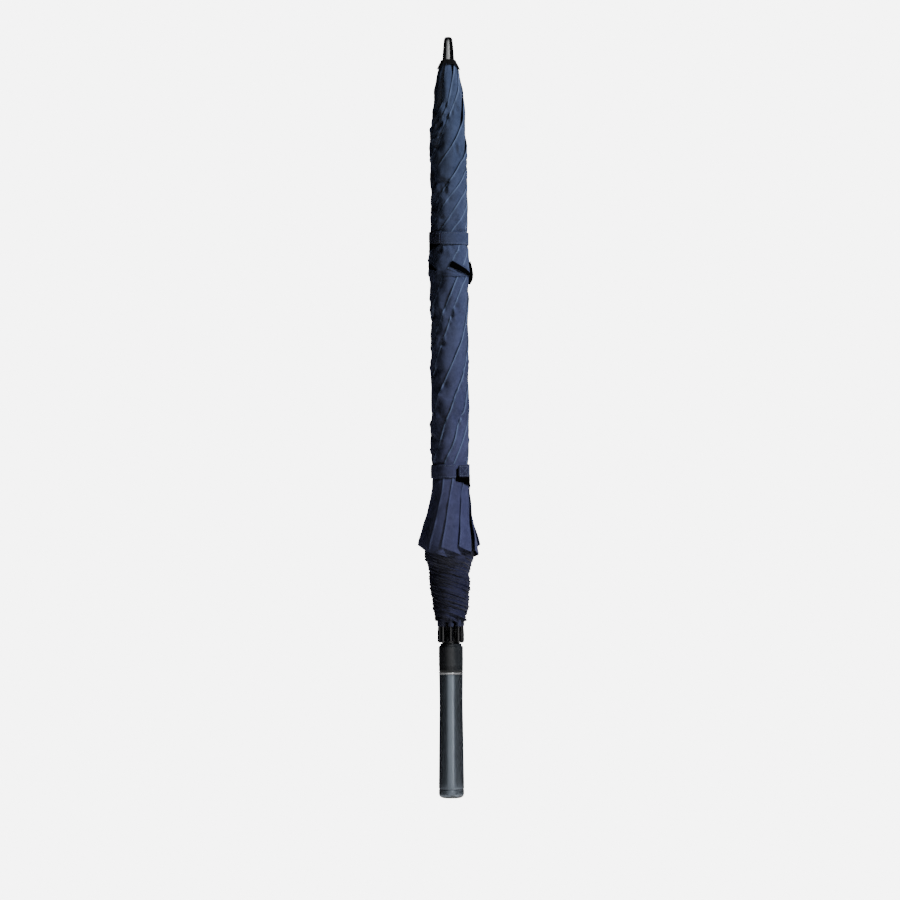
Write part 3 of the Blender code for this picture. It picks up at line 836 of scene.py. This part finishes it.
def surface(canopy, azimuth, height):
    """Radius of the outermost cloth at a place on the roll."""
    share, gap = canopy.between(azimuth, height)
    skirt = canopy.skirt(height)
    calm = 1 - 0.75 * in_band(height)
    outside = canopy.outside(height)
    cone = np.clip((CONE_TOP - height) / 0.012, 0, 1) * (canopy is MAIN)
    top = np.clip((height - 0.905) / 0.04, 0, 1)
    body = (1 - skirt) * (1 - 0.6 * top)
    half = gap / 2
    flat = 1 - np.cos(half) / np.cos(np.clip(share * gap - half, -1.2, 1.2))
    middle, fine = MIDDLE(azimuth, height), FINE(azimuth, height)
    busy = np.clip(PATCH(azimuth, height) * 0.9 + 0.40 - 0.65 * np.sin(azimuth), 0, 1.25)
    slope = height + 0.235 * 25 * MM * azimuth
    coarse = slope * pi / COARSE_PITCH + 1.3 * middle
    close = slope * pi / CLOSE_PITCH + 1.6 * fine
    crease = 1.2 - 2 * np.abs(np.sin(coarse)) ** 0.7 + 0.6 * np.sin(close)
    radius = outside - outside * flat * skirt * (1 - cone) - SLACK * body
    radius += PUFF * np.sin(pi * share) ** 0.8 * body * calm
    radius += BROAD_RIPPLE * BROAD(azimuth, height) * calm * (1 - 0.6 * skirt)
    radius += (MIDDLE_RIPPLE * middle + FINE_RIPPLE * fine) * busy * calm * body
    radius += (0.6 * MM * middle - CREASE * crease) * cone
    return radius + dents(azimuth, height) * (1 - skirt)


print("surface rule ready")

# %% [markdown]
# ## Winding one flap
# The grid's rows run down the flap. Its columns start at the rib on the upper layer of cloth, run out to
# the folded edge, turn round it, and come back to the rib on the lower layer. The mesh is an open sheet,
# as cloth is, and its UV map keeps the distance in metres along both directions.

# %% Winding
RIDGE = np.array([0.0, 0.12, 0.30, 0.55, 0.9, 1.3, 1.8, 2.4, 3.1, 4.2]) * MM
SPREAD = np.linspace(0, 1, 29)[1:] ** 1.25
COLUMN_RUN = np.concatenate([RIDGE, np.full(len(SPREAD), RIDGE[-1])])
COLUMN_SHARE = np.concatenate([np.zeros(len(RIDGE)), SPREAD])
FOLD_THICKNESS = 0.85 * MM
HEM_POWER = 0.82
LAYER_PITCH = 0.80 * MM
FINE_ROWS_FROM = 0.338
TUCK = 7.2 * MM
SKIRT_LEAN = profile(level([(0.25, 0.0), (0.31, 1.6), (0.34, 2.4), (0.38, 2.0), (0.42, 0.0)]), 10 * MM)


def ramp(start, end, number):
    """0 up to start and 1 from end on, with a straight line between them."""
    return np.clip((number - start) / (end - start), 0, 1)


def flap_rows(canopy):
    """Heights of the rows along the rib, closer together where the cloth is finely creased."""
    if canopy is MAIN:
        coarse = np.arange(canopy.top, FINE_ROWS_FROM, -1.9 * MM)
        close = np.arange(FINE_ROWS_FROM, canopy.hem_rib, -0.85 * MM)
        return np.concatenate([coarse, close, [canopy.hem_rib]])
    return np.append(np.arange(canopy.top, canopy.hem_rib, -1.45 * MM), canopy.hem_rib)


def hem_height(canopy, number, back, part):
    """The hem's height at an angle back from the folded edge, of which part is the share wound so far."""
    edge = canopy.hem_edge + 0.003 * sin(number * 2.4)
    fall = part**HEM_POWER if canopy.hem_turn is None else 1 - np.exp(-back / canopy.hem_turn)
    return edge + (canopy.hem_rib - edge) * fall


def wind(canopy, number, down, run, share, side):
    """Cloth at a share down the flap and a run of metres, then a share of the rest, back from its edge.

    side is 1 for the upper layer and -1 for the lower. Returns radius, azimuth, height and back angle.
    """
    height = canopy.top + down * (canopy.hem_rib - canopy.top) + 0 * run
    for _ in range(3):
        total = canopy.wound(height)
        start = run / canopy.outside(height)
        back = start + share * (total - start)
        part = np.clip(back / total, 0, 1)
        height = canopy.top + down * (hem_height(canopy, number, back, part) - canopy.top)
    azimuth = canopy.edge(number, height) + back
    below_hem = (canopy.hem_edge - height) / (canopy.hem_edge - canopy.hem_rib)
    outermost = np.clip(below_hem, 0, 0.97) ** (1 / HEM_POWER)
    if canopy.hem_turn is not None:
        outermost = np.zeros_like(height)
    deeper = np.clip((part - outermost) / (1 - outermost), 0, 1)
    layers = np.maximum(total * (1 - outermost) / STEP, 1)
    inside = canopy.inside(height)
    top_radius = surface(canopy, azimuth, height)
    pitch = np.minimum(LAYER_PITCH, 0.85 * (top_radius - inside) / layers)
    radius = top_radius - pitch * layers * deeper - (top_radius - inside - pitch * layers) * deeper**4
    tuck = ramp(26, 40, np.degrees(back)) ** 2 * canopy.skirt(height) * ramp(0.290, 0.320, height)
    radius = radius - TUCK * tuck * (1 - deeper) * ramp(0.385, 0.345, height)
    away = back * canopy.outside(height)
    swell = 0.55 + 0.45 * EDGE_WAVER(azimuth, height * 1.7)
    room = np.clip((top_radius - inside) / (8 * MM), 0.15, 1) * (1 - 0.8 * in_band(height))
    lift = 0.85 * MM * swell * np.exp(-(((away - 0.9 * MM) / (1.3 * MM)) ** 2)) * room
    fold = FOLD_THICKNESS * np.exp(-away / (3.5 * MM)) * (1 + 0.6 * canopy.skirt(height))
    gap = 0.25 * MM + fold * room
    rounded_off = np.sqrt(np.clip(1 - (1 - np.clip(away / (0.55 * MM), 0, 1)) ** 2, 0, 1))
    return radius + lift - gap / 2 + side * gap / 2 * rounded_off, azimuth, height, back, part


print(2 * (len(COLUMN_RUN) - 1), "columns across a flap")


# %% One flap as a grid, and its mesh
def flap_grid(canopy, number):
    """Points, UV and finish attributes for one flap, as grids."""
    down = ((canopy.top - flap_rows(canopy)) / (canopy.top - canopy.hem_rib))[:, None]
    columns = (COLUMN_RUN[None], COLUMN_SHARE[None])
    upper, lower = (wind(canopy, number, down, *columns, side) for side in (1, -1))
    whole = [np.concatenate([a[:, ::-1], b[:, 1:]], axis=1) for a, b in zip(upper, lower)]
    radius, azimuth, height, back, part = whole
    turned_over = np.concatenate([-upper[3][:, ::-1], lower[3][:, 1:]], axis=1)
    away = back * canopy.outside(height)
    uv = np.stack([turned_over * 0.020, APEX - height], axis=-1)
    points = place(radius, azimuth, height)
    points[..., 0] -= SKIRT_LEAN(height)
    # Painted highlight along each folded edge, weaker in the skirt.
    fold_highlight = 0.8 * (1 - 0.85 * canopy.skirt(height))
    near = fold_highlight * np.exp(-(((away - 1.2 * MM) / (1.15 * MM)) ** 2))
    # Painted shade on cloth in the skirt that lies beneath the outer flap and its hem.
    under = np.clip((part - 0.062) / 0.045, 0, 1) * canopy.skirt(height)
    return points, uv, {"fold": near, "under": under}


def grid_mesh(name, points, uv, attributes=None):
    """A mesh from a grid of points, with a UV map in metres and float attributes on its points."""
    rows, columns = points.shape[:2]
    mesh = bpy.data.meshes.new(name)
    index = np.arange(rows * columns).reshape(rows, columns)
    corners = [index[:-1, :-1], index[1:, :-1], index[1:, 1:], index[:-1, 1:]]
    quads = np.stack(corners, axis=-1).reshape(-1, 4)
    mesh.vertices.add(rows * columns)
    mesh.vertices.foreach_set("co", points.reshape(-1).astype(np.float32))
    mesh.loops.add(quads.size)
    mesh.loops.foreach_set("vertex_index", quads.reshape(-1).astype(np.int32))
    mesh.polygons.add(len(quads))
    mesh.polygons.foreach_set("loop_start", np.arange(0, quads.size, 4, dtype=np.int32))
    mesh.update(calc_edges=True)
    layer = mesh.uv_layers.new(name="cloth")
    layer.data.foreach_set("uv", uv.reshape(-1, 2)[quads.reshape(-1)].astype(np.float32).reshape(-1))
    for key, values in (attributes or {}).items():
        attribute = mesh.attributes.new(key, "FLOAT", "POINT")
        attribute.data.foreach_set("value", values.reshape(-1).astype(np.float32))
    mesh.shade_smooth()
    mesh.validate()
    return mesh


print("grid helpers ready")

# %% [markdown]
# The umbrella opens by sliding its runner. A roll can't follow eight ribs that fan out, so it rides the
# frame round the shaft, and the dome strips below are made for the open canopy. Bands, tabs, patches and
# keepers are sewn to the cloth. Each rides the rib, the panel or the tab that it is sewn to.

# %% How cloth follows the frame
LAY_R = 15.7 * MM
HALF_ANGLE = radians(20.8)


def settle(piece, body, home):
    """The piece rides a body. home, the rib it was made to lie over, is read but has no effect."""
    azimuth = STEP * (home - 1)
    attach(piece, body)
    outward = [float(v) for v in place(1.0, azimuth, 0.0)]
    anchor = [float(v) for v in place(LAY_R, azimuth, 0.5)]
    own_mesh(piece)


def gore_width(reach):
    """Flat width of a panel at a distance down its rib: its two seams stand 41.6 degrees apart."""
    return 2 * reach * np.tan(HALF_ANGLE)


def gather_at_crown(piece):
    """The furled roll stays round the shaft, riding the frame."""
    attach(piece, "frame")
    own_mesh(piece)


print("a panel's hem is", round(float(gore_width(APEX - CLOTH_END)), 3), "m wide")

# %% Wind all sixteen flaps
VENT_HEM = 0.689
for canopy, node in ((VENT, "vent_panel"), (MAIN, "main_panel")):
    first = max(APEX - canopy.top, 0.0)
    last = APEX - (VENT_HEM if canopy is VENT else canopy.hem_rib)
    cut = (float(gore_width(last)), float(last - first))
    for number in range(1, RIBS + 1):
        points, uv, marks = flap_grid(canopy, number)
        mesh = grid_mesh(f"{canopy.name}_flap_{number}", points, uv, marks)
        flap = new_piece(mesh.name, mesh, CANOPY)
        gather_at_crown(flap)
        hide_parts(f"{node}_{number}")

# %% [markdown]
# ## The open canopy
# While the umbrella is furled these strips lie hidden against the ribs. Each one spans two neighbouring
# ribs, and it stays where it is built, as nothing ties its sides to the ribs. The hem is cut back between
# the ribs, and each strip laps over its neighbour a little at the seam, as sewn cloth does.

# %% Dome strips
STRIP_R = 14.75 * MM
STRIP_COLUMNS = 13
SEAM_LAP, LAP_LIFT = 0.10, 0.25 * MM
HEM_CUT = 0.12
NOTCH_R = 9.5 * MM
VENT_TOP, VENT_LIFT = 0.9535, 0.22 * MM


def dome_strip(canopy, number, top, reach, lift):
    share = np.concatenate([[0], np.linspace(0, 1, STRIP_COLUMNS), [1]])
    across = -2 * np.sin(np.arcsin(1 - 2 * share) / 3)
    across[0] -= SEAM_LAP
    across[-1] += SEAM_LAP
    down = np.linspace(0, 1, 60)[:, None]
    hem = reach * (1 - HEM_CUT * (4 * share * (1 - share)))[None, :]
    height = top - down * (hem - (APEX - top))
    radius = np.minimum(STRIP_R + lift, canopy.inside(height) - 0.35 * MM)
    radius = np.maximum(radius, NOTCH_R) + LAP_LIFT * (across > 1)
    middle = STEP * (number - 0.5)
    azimuth = middle + np.arcsin(np.clip(across * sin(STEP / 2) * STRIP_R / radius, -1, 1))
    uv = np.stack([(share[None, :] - 0.5) * gore_width(APEX - height), APEX - height], axis=-1)
    mesh = grid_mesh(f"{canopy.name}_dome_{number}", place(radius, azimuth, height), uv)
    strip = new_piece(mesh.name, mesh, CANOPY)
    side = place(1.0, middle + pi / 2, 0.0)
    centre = place(STRIP_R * cos(STEP / 2), middle, 0.5)
    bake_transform(strip)


for number in range(1, RIBS + 1):
    dome_strip(MAIN, number, MAIN.top, APEX - CLOTH_END, 0.0)
    dome_strip(VENT, number, VENT_TOP, APEX - VENT_HEM, VENT_LIFT)
print("dome strips span", RIBS, "pairs of ribs")

# %% [markdown]
# ## Straps
# Tie bands, their tabs, the hook pile under them and the elastic keepers are all flat straps. A strap is
# one cross section swept along a path. The section dips a little where a row of stitches pulls it in.


# %% Sweeping a flat section
STITCH_LINE = 0.40


def flat_section(width, thick, dip=0.0):
    """Half of a strap's outline as shares of its width and thickness, mirrored, with its underside."""
    edge = [(-0.50, 0.0), (-0.485, 0.38), (-0.455, 0.5), (-0.42, 0.5)]
    top = edge + [(-STITCH_LINE, 0.5), (-0.36, 0.5), (0.0, 0.58)]
    rows = [(w * width, t * thick - (dip if w == -STITCH_LINE else 0.0)) for w, t in top]
    rows += [(-w, t) for w, t in rows[-2::-1]]
    under = [(0.485, -0.38), (0.44, -0.5), (0.0, -0.5), (-0.44, -0.5), (-0.485, -0.38)]
    return np.array(rows + [(w * width, t * thick) for w, t in under])


def swept(name, path, across, out, section, material, closed=False, widths=1.0):
    """A solid swept along a path. across and out are the directions of the section's two axes."""
    count, ring = len(path), len(section)
    widths = np.broadcast_to(widths, (count,))[:, None, None]
    sideways = across[:, None] * (section[None, :, :1] * widths)
    points = path[:, None] + sideways + out[:, None] * section[None, :, 1:]
    shape = bmesh.new()
    verts = [shape.verts.new(p) for p in points.reshape(-1, 3)]
    uv = shape.loops.layers.uv.new("cloth")
    along = np.concatenate([[0], np.cumsum(np.linalg.norm(np.diff(path, axis=0), axis=1))])
    for i in range(count if closed else count - 1):
        j = (i + 1) % count
        for k in range(ring):
            m = (k + 1) % ring
            around = ((i, k), (j, k), (j, m), (i, m))
            face = shape.faces.new([verts[step * ring + side] for step, side in around])
            after = along[i] + np.linalg.norm(path[j] - path[i])
            for loop, (step, side) in zip(face.loops, around):
                loop[uv].uv = (section[side][0], along[i] if step == i else after)
    if not closed:
        shape.faces.new(verts[:ring][::-1])
        shape.faces.new(verts[-ring:])
    bmesh.ops.recalc_face_normals(shape, faces=shape.faces)
    mesh = bpy.data.meshes.new(name)
    shape.to_mesh(mesh)
    shape.free()
    mesh.shade_smooth()
    mesh.set_sharp_from_angle(angle=radians(60))
    return new_piece(name, mesh, material)


print("strap helper ready")


# %% The line that a strap takes round the roll
def girth(canopy, low, high):
    """A strap pulled tight bridges the hollows of the roll. Returns its inner radius by azimuth."""
    around = np.radians(np.arange(0, 360, 2.0))
    heights = np.linspace(low, high, 9)[:, None]
    radius = surface(canopy, around[None, :], heights).max(axis=0) + 0.35 * MM
    bridged = np.max([np.roll(radius, shift) for shift in range(-5, 6)], axis=0)
    window = np.hanning(15)
    smooth = np.convolve(np.tile(bridged, 3), window / window.sum(), mode="same")[len(radius):2 * len(radius)]
    angles, radii = np.append(around, tau), np.append(smooth, smooth[0])
    return lambda azimuth: np.interp(np.mod(azimuth, tau), angles, radii)


LOWER_GIRTH, UPPER_GIRTH = girth(MAIN, *LOWER_BAND), girth(VENT, *UPPER_BAND)
UP = np.array([0.0, 0.0, 1.0])


def round_path(line, height, start, end, steps, lift=0.0, sway=0.0):
    """Azimuths, points and outward directions along a strap that goes round the roll."""
    azimuth = np.radians(np.linspace(start, end, steps))
    level_at = height + sway * np.sin(azimuth * 1.0 + 0.6) + 0.25 * sway * np.sin(azimuth * 3.0 + 2.0)
    return azimuth, place(line(azimuth) + lift, azimuth, level_at), place(1.0, azimuth, 0.0)


def strap(name, line, height, width, thick, span, lift, material, dip=0.0, sway=0.0, steps=None):
    """A strap of one width over a span of degrees. A span of 360 closes it."""
    start, end = span
    closed = end - start >= 360
    steps = steps or max(8, int(abs(end - start) / 3))
    last = end - (3 if closed else 0)
    _, path, out = round_path(line, height, start, last, steps, lift + thick / 2, sway)
    across = np.broadcast_to(UP, path.shape)
    return swept(name, path, across, out, flat_section(width, thick, dip), material, closed)


for name, line in (("lower", LOWER_GIRTH), ("upper", UPPER_GIRTH)):
    print(name, "band radius in front", round(float(line(0.0)) * 1000, 1), "mm")

# %% [markdown]
# ## Stitches
# A row of stitches is one small thread capsule repeated along a line, which is what Geometry Nodes is
# for. The tree takes a line, spaces points along it, and sets a capsule on each with a slight seeded
# difference in length. The result becomes an ordinary mesh.


# %% Stitch tree
def stitch_tree():
    tree = bpy.data.node_groups.new("stitch_row", "GeometryNodeTree")
    sockets = (
        ("Line", "INPUT", "NodeSocketGeometry", None),
        ("Pitch", "INPUT", "NodeSocketFloat", 3.0 * MM),
        ("Length", "INPUT", "NodeSocketFloat", 2.3 * MM),
        ("Thread", "INPUT", "NodeSocketFloat", 0.45 * MM),
        ("Seed", "INPUT", "NodeSocketInt", 5),
        ("Finish", "INPUT", "NodeSocketMaterial", None),
        ("Stitches", "OUTPUT", "NodeSocketGeometry", None),
    )
    for label, direction, kind, usual in sockets:
        socket = tree.interface.new_socket(name=label, in_out=direction, socket_type=kind)
        if usual is not None:
            socket.default_value = usual
    graph = Graph(tree)
    given = graph.add("NodeGroupInput")
    line = graph.add("GeometryNodeMeshToCurve", {}, {"Mesh": given.pick("Line")})
    spacing = {"Curve": line, "Length": given.pick("Pitch")}
    spaced = graph.add("GeometryNodeResampleCurve", {"mode": "LENGTH"}, spacing)
    bead = graph.add("GeometryNodeMeshUVSphere", {}, {"Segments": 8, "Rings": 6, "Radius": 0.5})
    tangent = graph.add("GeometryNodeInputTangent")
    turn = graph.add("FunctionNodeAlignRotationToVector", {"axis": "X"}, {"Vector": tangent})
    between = {2: 0.88, 3: 1.08, "Seed": given.pick("Seed")}
    change = graph.add("FunctionNodeRandomValue", {"data_type": "FLOAT"}, between).pick(1)
    thread = given.pick("Thread")
    size = graph.add("ShaderNodeCombineXYZ", {}, [given.pick("Length") * change, thread, thread])
    sewn = {"Points": spaced, "Instance": bead, "Rotation": turn, "Scale": size}
    beads = graph.add("GeometryNodeInstanceOnPoints", {}, sewn)
    real = graph.add("GeometryNodeRealizeInstances", {}, [beads])
    smooth = graph.add("GeometryNodeSetShadeSmooth", {}, [real])
    done = graph.add("GeometryNodeSetMaterial", {}, {"Geometry": smooth, "Material": given.pick("Finish")})
    graph.add("NodeGroupOutput", {}, {"Stitches": done})
    return tree


STITCH_ROW = stitch_tree()


def grown(name, lines, tree, **settings):
    """Runs a tree on lines of points, and keeps the result as a plain mesh piece."""
    mesh = bpy.data.meshes.new(name + "_line")
    starts = np.cumsum([0] + [len(line) for line in lines])
    edges = [(int(a + i), int(a + i + 1)) for a, line in zip(starts, lines) for i in range(len(line) - 1)]
    mesh.from_pydata([tuple(p) for line in lines for p in line], edges, [])
    guide = bpy.data.objects.new(name + "_guide", mesh)
    bpy.context.scene.collection.objects.link(guide)
    modifier = guide.modifiers.new("grow", "NODES")
    modifier.node_group = tree
    for item in tree.interface.items_tree:
        if item.in_out == "INPUT" and item.name in settings:
            modifier[item.identifier] = settings[item.name]
    shown = guide.evaluated_get(bpy.context.evaluated_depsgraph_get())
    made = bpy.data.meshes.new_from_object(shown)
    guide.modifiers.remove(modifier)
    bpy.data.objects.remove(guide)
    made.name = name
    piece = bpy.data.objects.new(name, made)
    bpy.context.scene.collection.objects.link(piece)
    return piece


def stitch(name, lines, **settings):
    return grown(name, lines, STITCH_ROW, Finish=THREAD, **settings)


print("stitch tree has", len(STITCH_ROW.nodes), "nodes")

# %% [markdown]
# ## Tie bands
# Two bands are sewn from doubled canopy cloth with a row of stitches near each edge. The lower one goes
# round the whole roll, and the upper one round the vent. Each ends in a tab that presses onto a patch of
# black pile.

# %% Bands and their stitches
LOWER_MID = (LOWER_BAND[0] + LOWER_BAND[1]) / 2 - 1.0 * MM
UPPER_MID = (UPPER_BAND[0] + UPPER_BAND[1]) / 2 + 1.6 * MM
BAND_THICK = 0.75 * MM


def tie_band(name, line, middle, width, body, home, node, sway):
    band = strap(name, line, middle, width, BAND_THICK, (0, 360), 0.0, BAND, 0.22 * MM, sway, 120)
    settle(band, body, home)
    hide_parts(node)
    levels = [middle + side * STITCH_LINE * width for side in (-1, 1)]
    lines = [round_path(line, height, 2, 358, 150, BAND_THICK, sway)[1] for height in levels]
    rows = stitch(name + "_stitches", lines, Pitch=2.7 * MM, Length=2.1 * MM, Thread=0.5 * MM)
    settle(rows, body, home)
    print(name, len(rows.data.polygons), "faces of thread")


tie_band("lower_band_sewn", LOWER_GIRTH, LOWER_MID, 18.0 * MM, "panel_1", 2, "lower_tie_band", 0.5 * MM)
tie_band("upper_band_sewn", UPPER_GIRTH, UPPER_MID, 16.5 * MM, "rib_1", 1, "upper_tie_band", -0.7 * MM)

# %% [markdown]
# A tab is a short stiff tongue of doubled cloth with a patch of hooks under its free end. A box of
# stitches with a cross through it holds the hooks. The tab is swept like the band, but it stands off it,
# so that it lies over the band and throws a thin shadow.

# %% Tabs, hook pile and their box stitches
def tab(name, line, middle, width, span, body, home, node, sway, thick=1.0 * MM, stand=1.15 * MM):
    """A tab starts at its hinge and lies over the band. Its free corners are rounded."""
    start, end = span
    direction = 1 if end > start else -1
    azimuth, path, out = round_path(line, middle, start, end, 26, stand + thick / 2, sway)
    to_end = np.abs(azimuth - radians(end)) * 25.5 * MM
    widths = 1 - 0.22 * np.clip(1 - to_end / (2.2 * MM), 0, 1) ** 2
    across = np.broadcast_to(UP, path.shape)
    piece = swept(name, path, across, out, flat_section(width, thick, 0.2 * MM), TAB, False, widths)
    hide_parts(node)

    inset = 2.0 * MM
    near, far = (start + direction * 7, end - direction * 5)
    levels = np.array([middle - width / 2 + inset, middle + width / 2 - inset])
    proud = stand + thick + 0.08 * MM
    box = [round_path(line, height, near, far, 20, proud, sway)[1] for height in levels]
    for at in (near, far):
        box.append(np.linspace(*round_path(line, levels, at, at, 2, proud, sway)[1], 6))
    for rise in (levels, levels[::-1]):
        crossing = np.linspace(*rise, 8)
        box.append(round_path(line, crossing, near, far, 8, proud + 0.04 * MM, sway)[1])
    rows = stitch(name + "_stitches", box, Pitch=2.3 * MM, Length=1.9 * MM, Thread=0.5 * MM)

    pile_span = (start + direction * 12, end - direction * 2)
    pile_lift = stand - 0.32 * MM
    pile = strap(name + "_hooks", line, middle, width * 0.8, 0.3 * MM, pile_span, pile_lift, BLACK_PILE_AND_SHADE, sway=sway)
    for part in (piece, rows, pile):
        settle(part, body, home)
    print(name, "spans", abs(end - start), "degrees")


tab("lower_tab_sewn", LOWER_GIRTH, LOWER_MID + 0.3 * MM, 16.0 * MM, (68, 25), "lower_band_tab", 2,
    "lower_band_tab", 0.5 * MM)
tab("upper_tab_sewn", UPPER_GIRTH, UPPER_MID, 15.5 * MM, (-74, -22), "upper_band_tab", 1,
    "upper_band_tab", -0.7 * MM)

# %% [markdown]
# Black pile sheets lie on the band where the tabs land. They are wider than the tabs and cut at a slant,
# so their black edges show above and below, and those edges are partly painted shade under the tabs and
# the band. The thin strip below the lower band is painted shadow.

# %% Pile sheets that the tabs press onto, with painted shade at their edges and below the lower band
def pile_and_shadow_sheet(name, line, rows, body, home, lift=0.80 * MM):
    """rows are (degrees, bottom, top) along the patch."""
    degrees, bottom, top = np.array(rows).T
    azimuth = np.radians(np.linspace(degrees[0], degrees[-1], 24))
    low = np.interp(azimuth, np.radians(degrees), bottom)
    high = np.interp(azimuth, np.radians(degrees), top)
    path = place(line(azimuth) + lift + 0.15 * MM, azimuth, (low + high) / 2)
    out = place(1.0, azimuth, 0.0)
    across = np.broadcast_to(UP, path.shape)
    patch = swept(name, path, across, out, flat_section(1.0, 0.3 * MM), BLACK_PILE_AND_SHADE, False, high - low)
    settle(patch, body, home)


# Painted shade: the black edges of these sheets stand partly for the shadow under the tabs and the band.
lower_pile_and_shadow = [(18, 0.4165, 0.4325), (24, 0.4155, 0.4330), (40, 0.4145, 0.4300), (90, 0.4115, 0.4240)]
# Painted shadow: a thin black strip under the lower band's edge.
lower_band_shadow = [(42, 0.4130, 0.4150), (92, 0.4080, 0.4108)]
upper_pile_and_shadow = [(-100, 0.7160, 0.7330), (-70, 0.7180, 0.7330), (-24, 0.7262, 0.7330)]
pile_and_shadow_sheet("lower_pile_and_shadow_patch", LOWER_GIRTH, lower_pile_and_shadow, "panel_1", 2)
pile_and_shadow_sheet("lower_band_shadow_strip", LOWER_GIRTH, lower_band_shadow, "panel_1", 2, 1.3 * MM)
pile_and_shadow_sheet("upper_pile_and_shadow_patch", UPPER_GIRTH, upper_pile_and_shadow, "rib_1", 1)
print("bands, tabs and patches sewn")

# %% [markdown]
# ## Elastic keepers
# Short black elastics tie the vent's hem to the main canopy, so that wind can't lift it. One lies slack
# across the front and one stands out as a loop on the right.


# %% Keepers
def through(stations):
    """Columns of numbers that pass smoothly through the stations, with twelve steps between two."""
    given = np.array(stations, dtype=float)
    t = np.linspace(0, len(given) - 1, 12 * (len(given) - 1) + 1)
    i = np.clip(t.astype(int), 0, len(given) - 2)
    f = (t - i)[:, None]
    before, a, b = given[np.maximum(i - 1, 0)], given[i], given[i + 1]
    after = given[np.minimum(i + 2, len(given) - 1)]
    square = 2 * before - 5 * a + 4 * b - after
    cube = 3 * (a - b) + after - before
    return (a + 0.5 * f * (b - before + f * (square + f * cube))).T


def keeper(name, rib, width, stations, taper=1.0):
    """stations are (degrees, height, radius in mm, lean in degrees) along the elastic."""
    degrees, height, radius, lean = through(stations)
    azimuth, lean = np.radians(degrees), np.radians(lean)[:, None]
    path = place(radius * MM, azimuth, height)
    run = np.gradient(path, axis=0)
    run /= np.linalg.norm(run, axis=1)[:, None]
    outward = place(1.0, azimuth, 0.0)
    flat_out = outward - run * (outward * run).sum(axis=1)[:, None]
    flat_out /= np.maximum(np.linalg.norm(flat_out, axis=1)[:, None], 1e-6)
    across = np.cross(run, flat_out) * np.cos(lean) + flat_out * np.sin(lean)
    widths = np.linspace(1, taper, len(path))
    section = flat_section(width, 0.7 * MM)
    elastic = swept(name, path, across, np.cross(across, run), section, ELASTIC, False, widths)
    settle(elastic, f"rib_{rib}", rib)


keeper("keeper_front", 1, 8.4 * MM, [
    (4, 0.7008, 28.4, 0), (28, 0.6950, 28.9, 0), (50, 0.6905, 28.8, 0), (66, 0.6878, 28.2, 0),
    (78, 0.6862, 27.0, 0),
], 0.45)
keeper("keeper_right", 3, 7.0 * MM, [
    (80, 0.7040, 26.6, 40), (78, 0.6960, 28.2, 60), (77, 0.6880, 29.4, 68), (76, 0.6810, 29.0, 66),
    (74, 0.6740, 26.8, 45),
])
keeper("keeper_back", 5, 7.0 * MM, [
    (178, 0.7000, 28.2, 0), (184, 0.6930, 29.4, 0), (186, 0.6840, 29.0, 0), (184, 0.6760, 26.6, 0),
])
keeper("keeper_left", 7, 4.0 * MM, [
    (-74, 0.6985, 28.4, 0), (-62, 0.6965, 28.9, 0), (-48, 0.6945, 28.7, 0), (-34, 0.6925, 27.4, 0),
])
print("four keepers")

# %% [markdown]
# ## Rosette
# The joint between ferrule and cloth is covered by a gathered ring of black cloth. Its inner edge is
# tight on the ferrule, and its outer edge is longer than the roll, so it falls in ruffles.

# %% Gather the rosette
ROSETTE_TOP = 0.9698
around = np.linspace(0, tau, 145)[None, :]
down = np.linspace(0, 1, 16)[:, None]
folds = np.sin(9 * around + 1.2 * np.sin(2 * around + 0.5)) + 0.45 * np.sin(14 * around + 2.0)
fall = 3.6 * MM + 7.2 * MM * np.abs(np.sin(around)) ** 2.4 + 0.9 * MM * np.sin(5 * around + 0.8)
height = ROSETTE_TOP - fall * down**1.25 - 2.6 * MM * down
flare = (6.3 + 1.1 * np.abs(np.sin(around)) ** 3) * MM * down**0.75
radius = 7.75 * MM + flare + 0.75 * MM * folds * down**1.2
radius = radius + 0.9 * MM * np.exp(-((down - 0.12) / 0.10) ** 2)
near_edge = np.exp(-((1 - down) / 0.12) ** 2) + 0 * around
rosette_uv = np.stack([around * 12 * MM + 0 * down, down * 10 * MM + 0 * around], axis=-1)
rosette_points = place(radius, around, height)
# The hem edge of the rosette takes a little of the painted fold highlight.
rosette_mesh = grid_mesh("rosette_gathered", rosette_points, rosette_uv, {"fold": near_edge * 0.3})
rosette = new_piece("rosette_gathered", rosette_mesh, ROSETTE)
weld = bmesh.new()
weld.from_mesh(rosette_mesh)
bmesh.ops.remove_doubles(weld, verts=weld.verts[:], dist=1e-6)
weld.to_mesh(rosette_mesh)
weld.free()
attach(rosette, "frame")
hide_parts("top_rosette")
print("rosette falls", round(float(np.ptp(height)) * 1000, 1), "mm")

# %% [markdown]
# ## Rib-end pockets
# Each seam of the canopy ends in a small pocket that is pushed onto the rib before its tip.

# %% Pockets
pocket_outline = on_top([
    (2.7, 0), (3.3, -0.3), (3.55, 0.5), (3.6, 3), (3.3, 9), (2.7, 17), (2.4, 17),
], tip_high - 3.2 * MM)
for number in range(1, RIBS + 1):
    pocket = turned(f"pocket_{number}", pocket_outline, TAB, steps=24, closed=True)
    pocket.data.transform(Matrix.Translation(Vector(place(TIP_RING, STEP * (number - 1), 0.0))))
    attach(pocket, f"rib_{number}")
print(RIBS, "pockets")
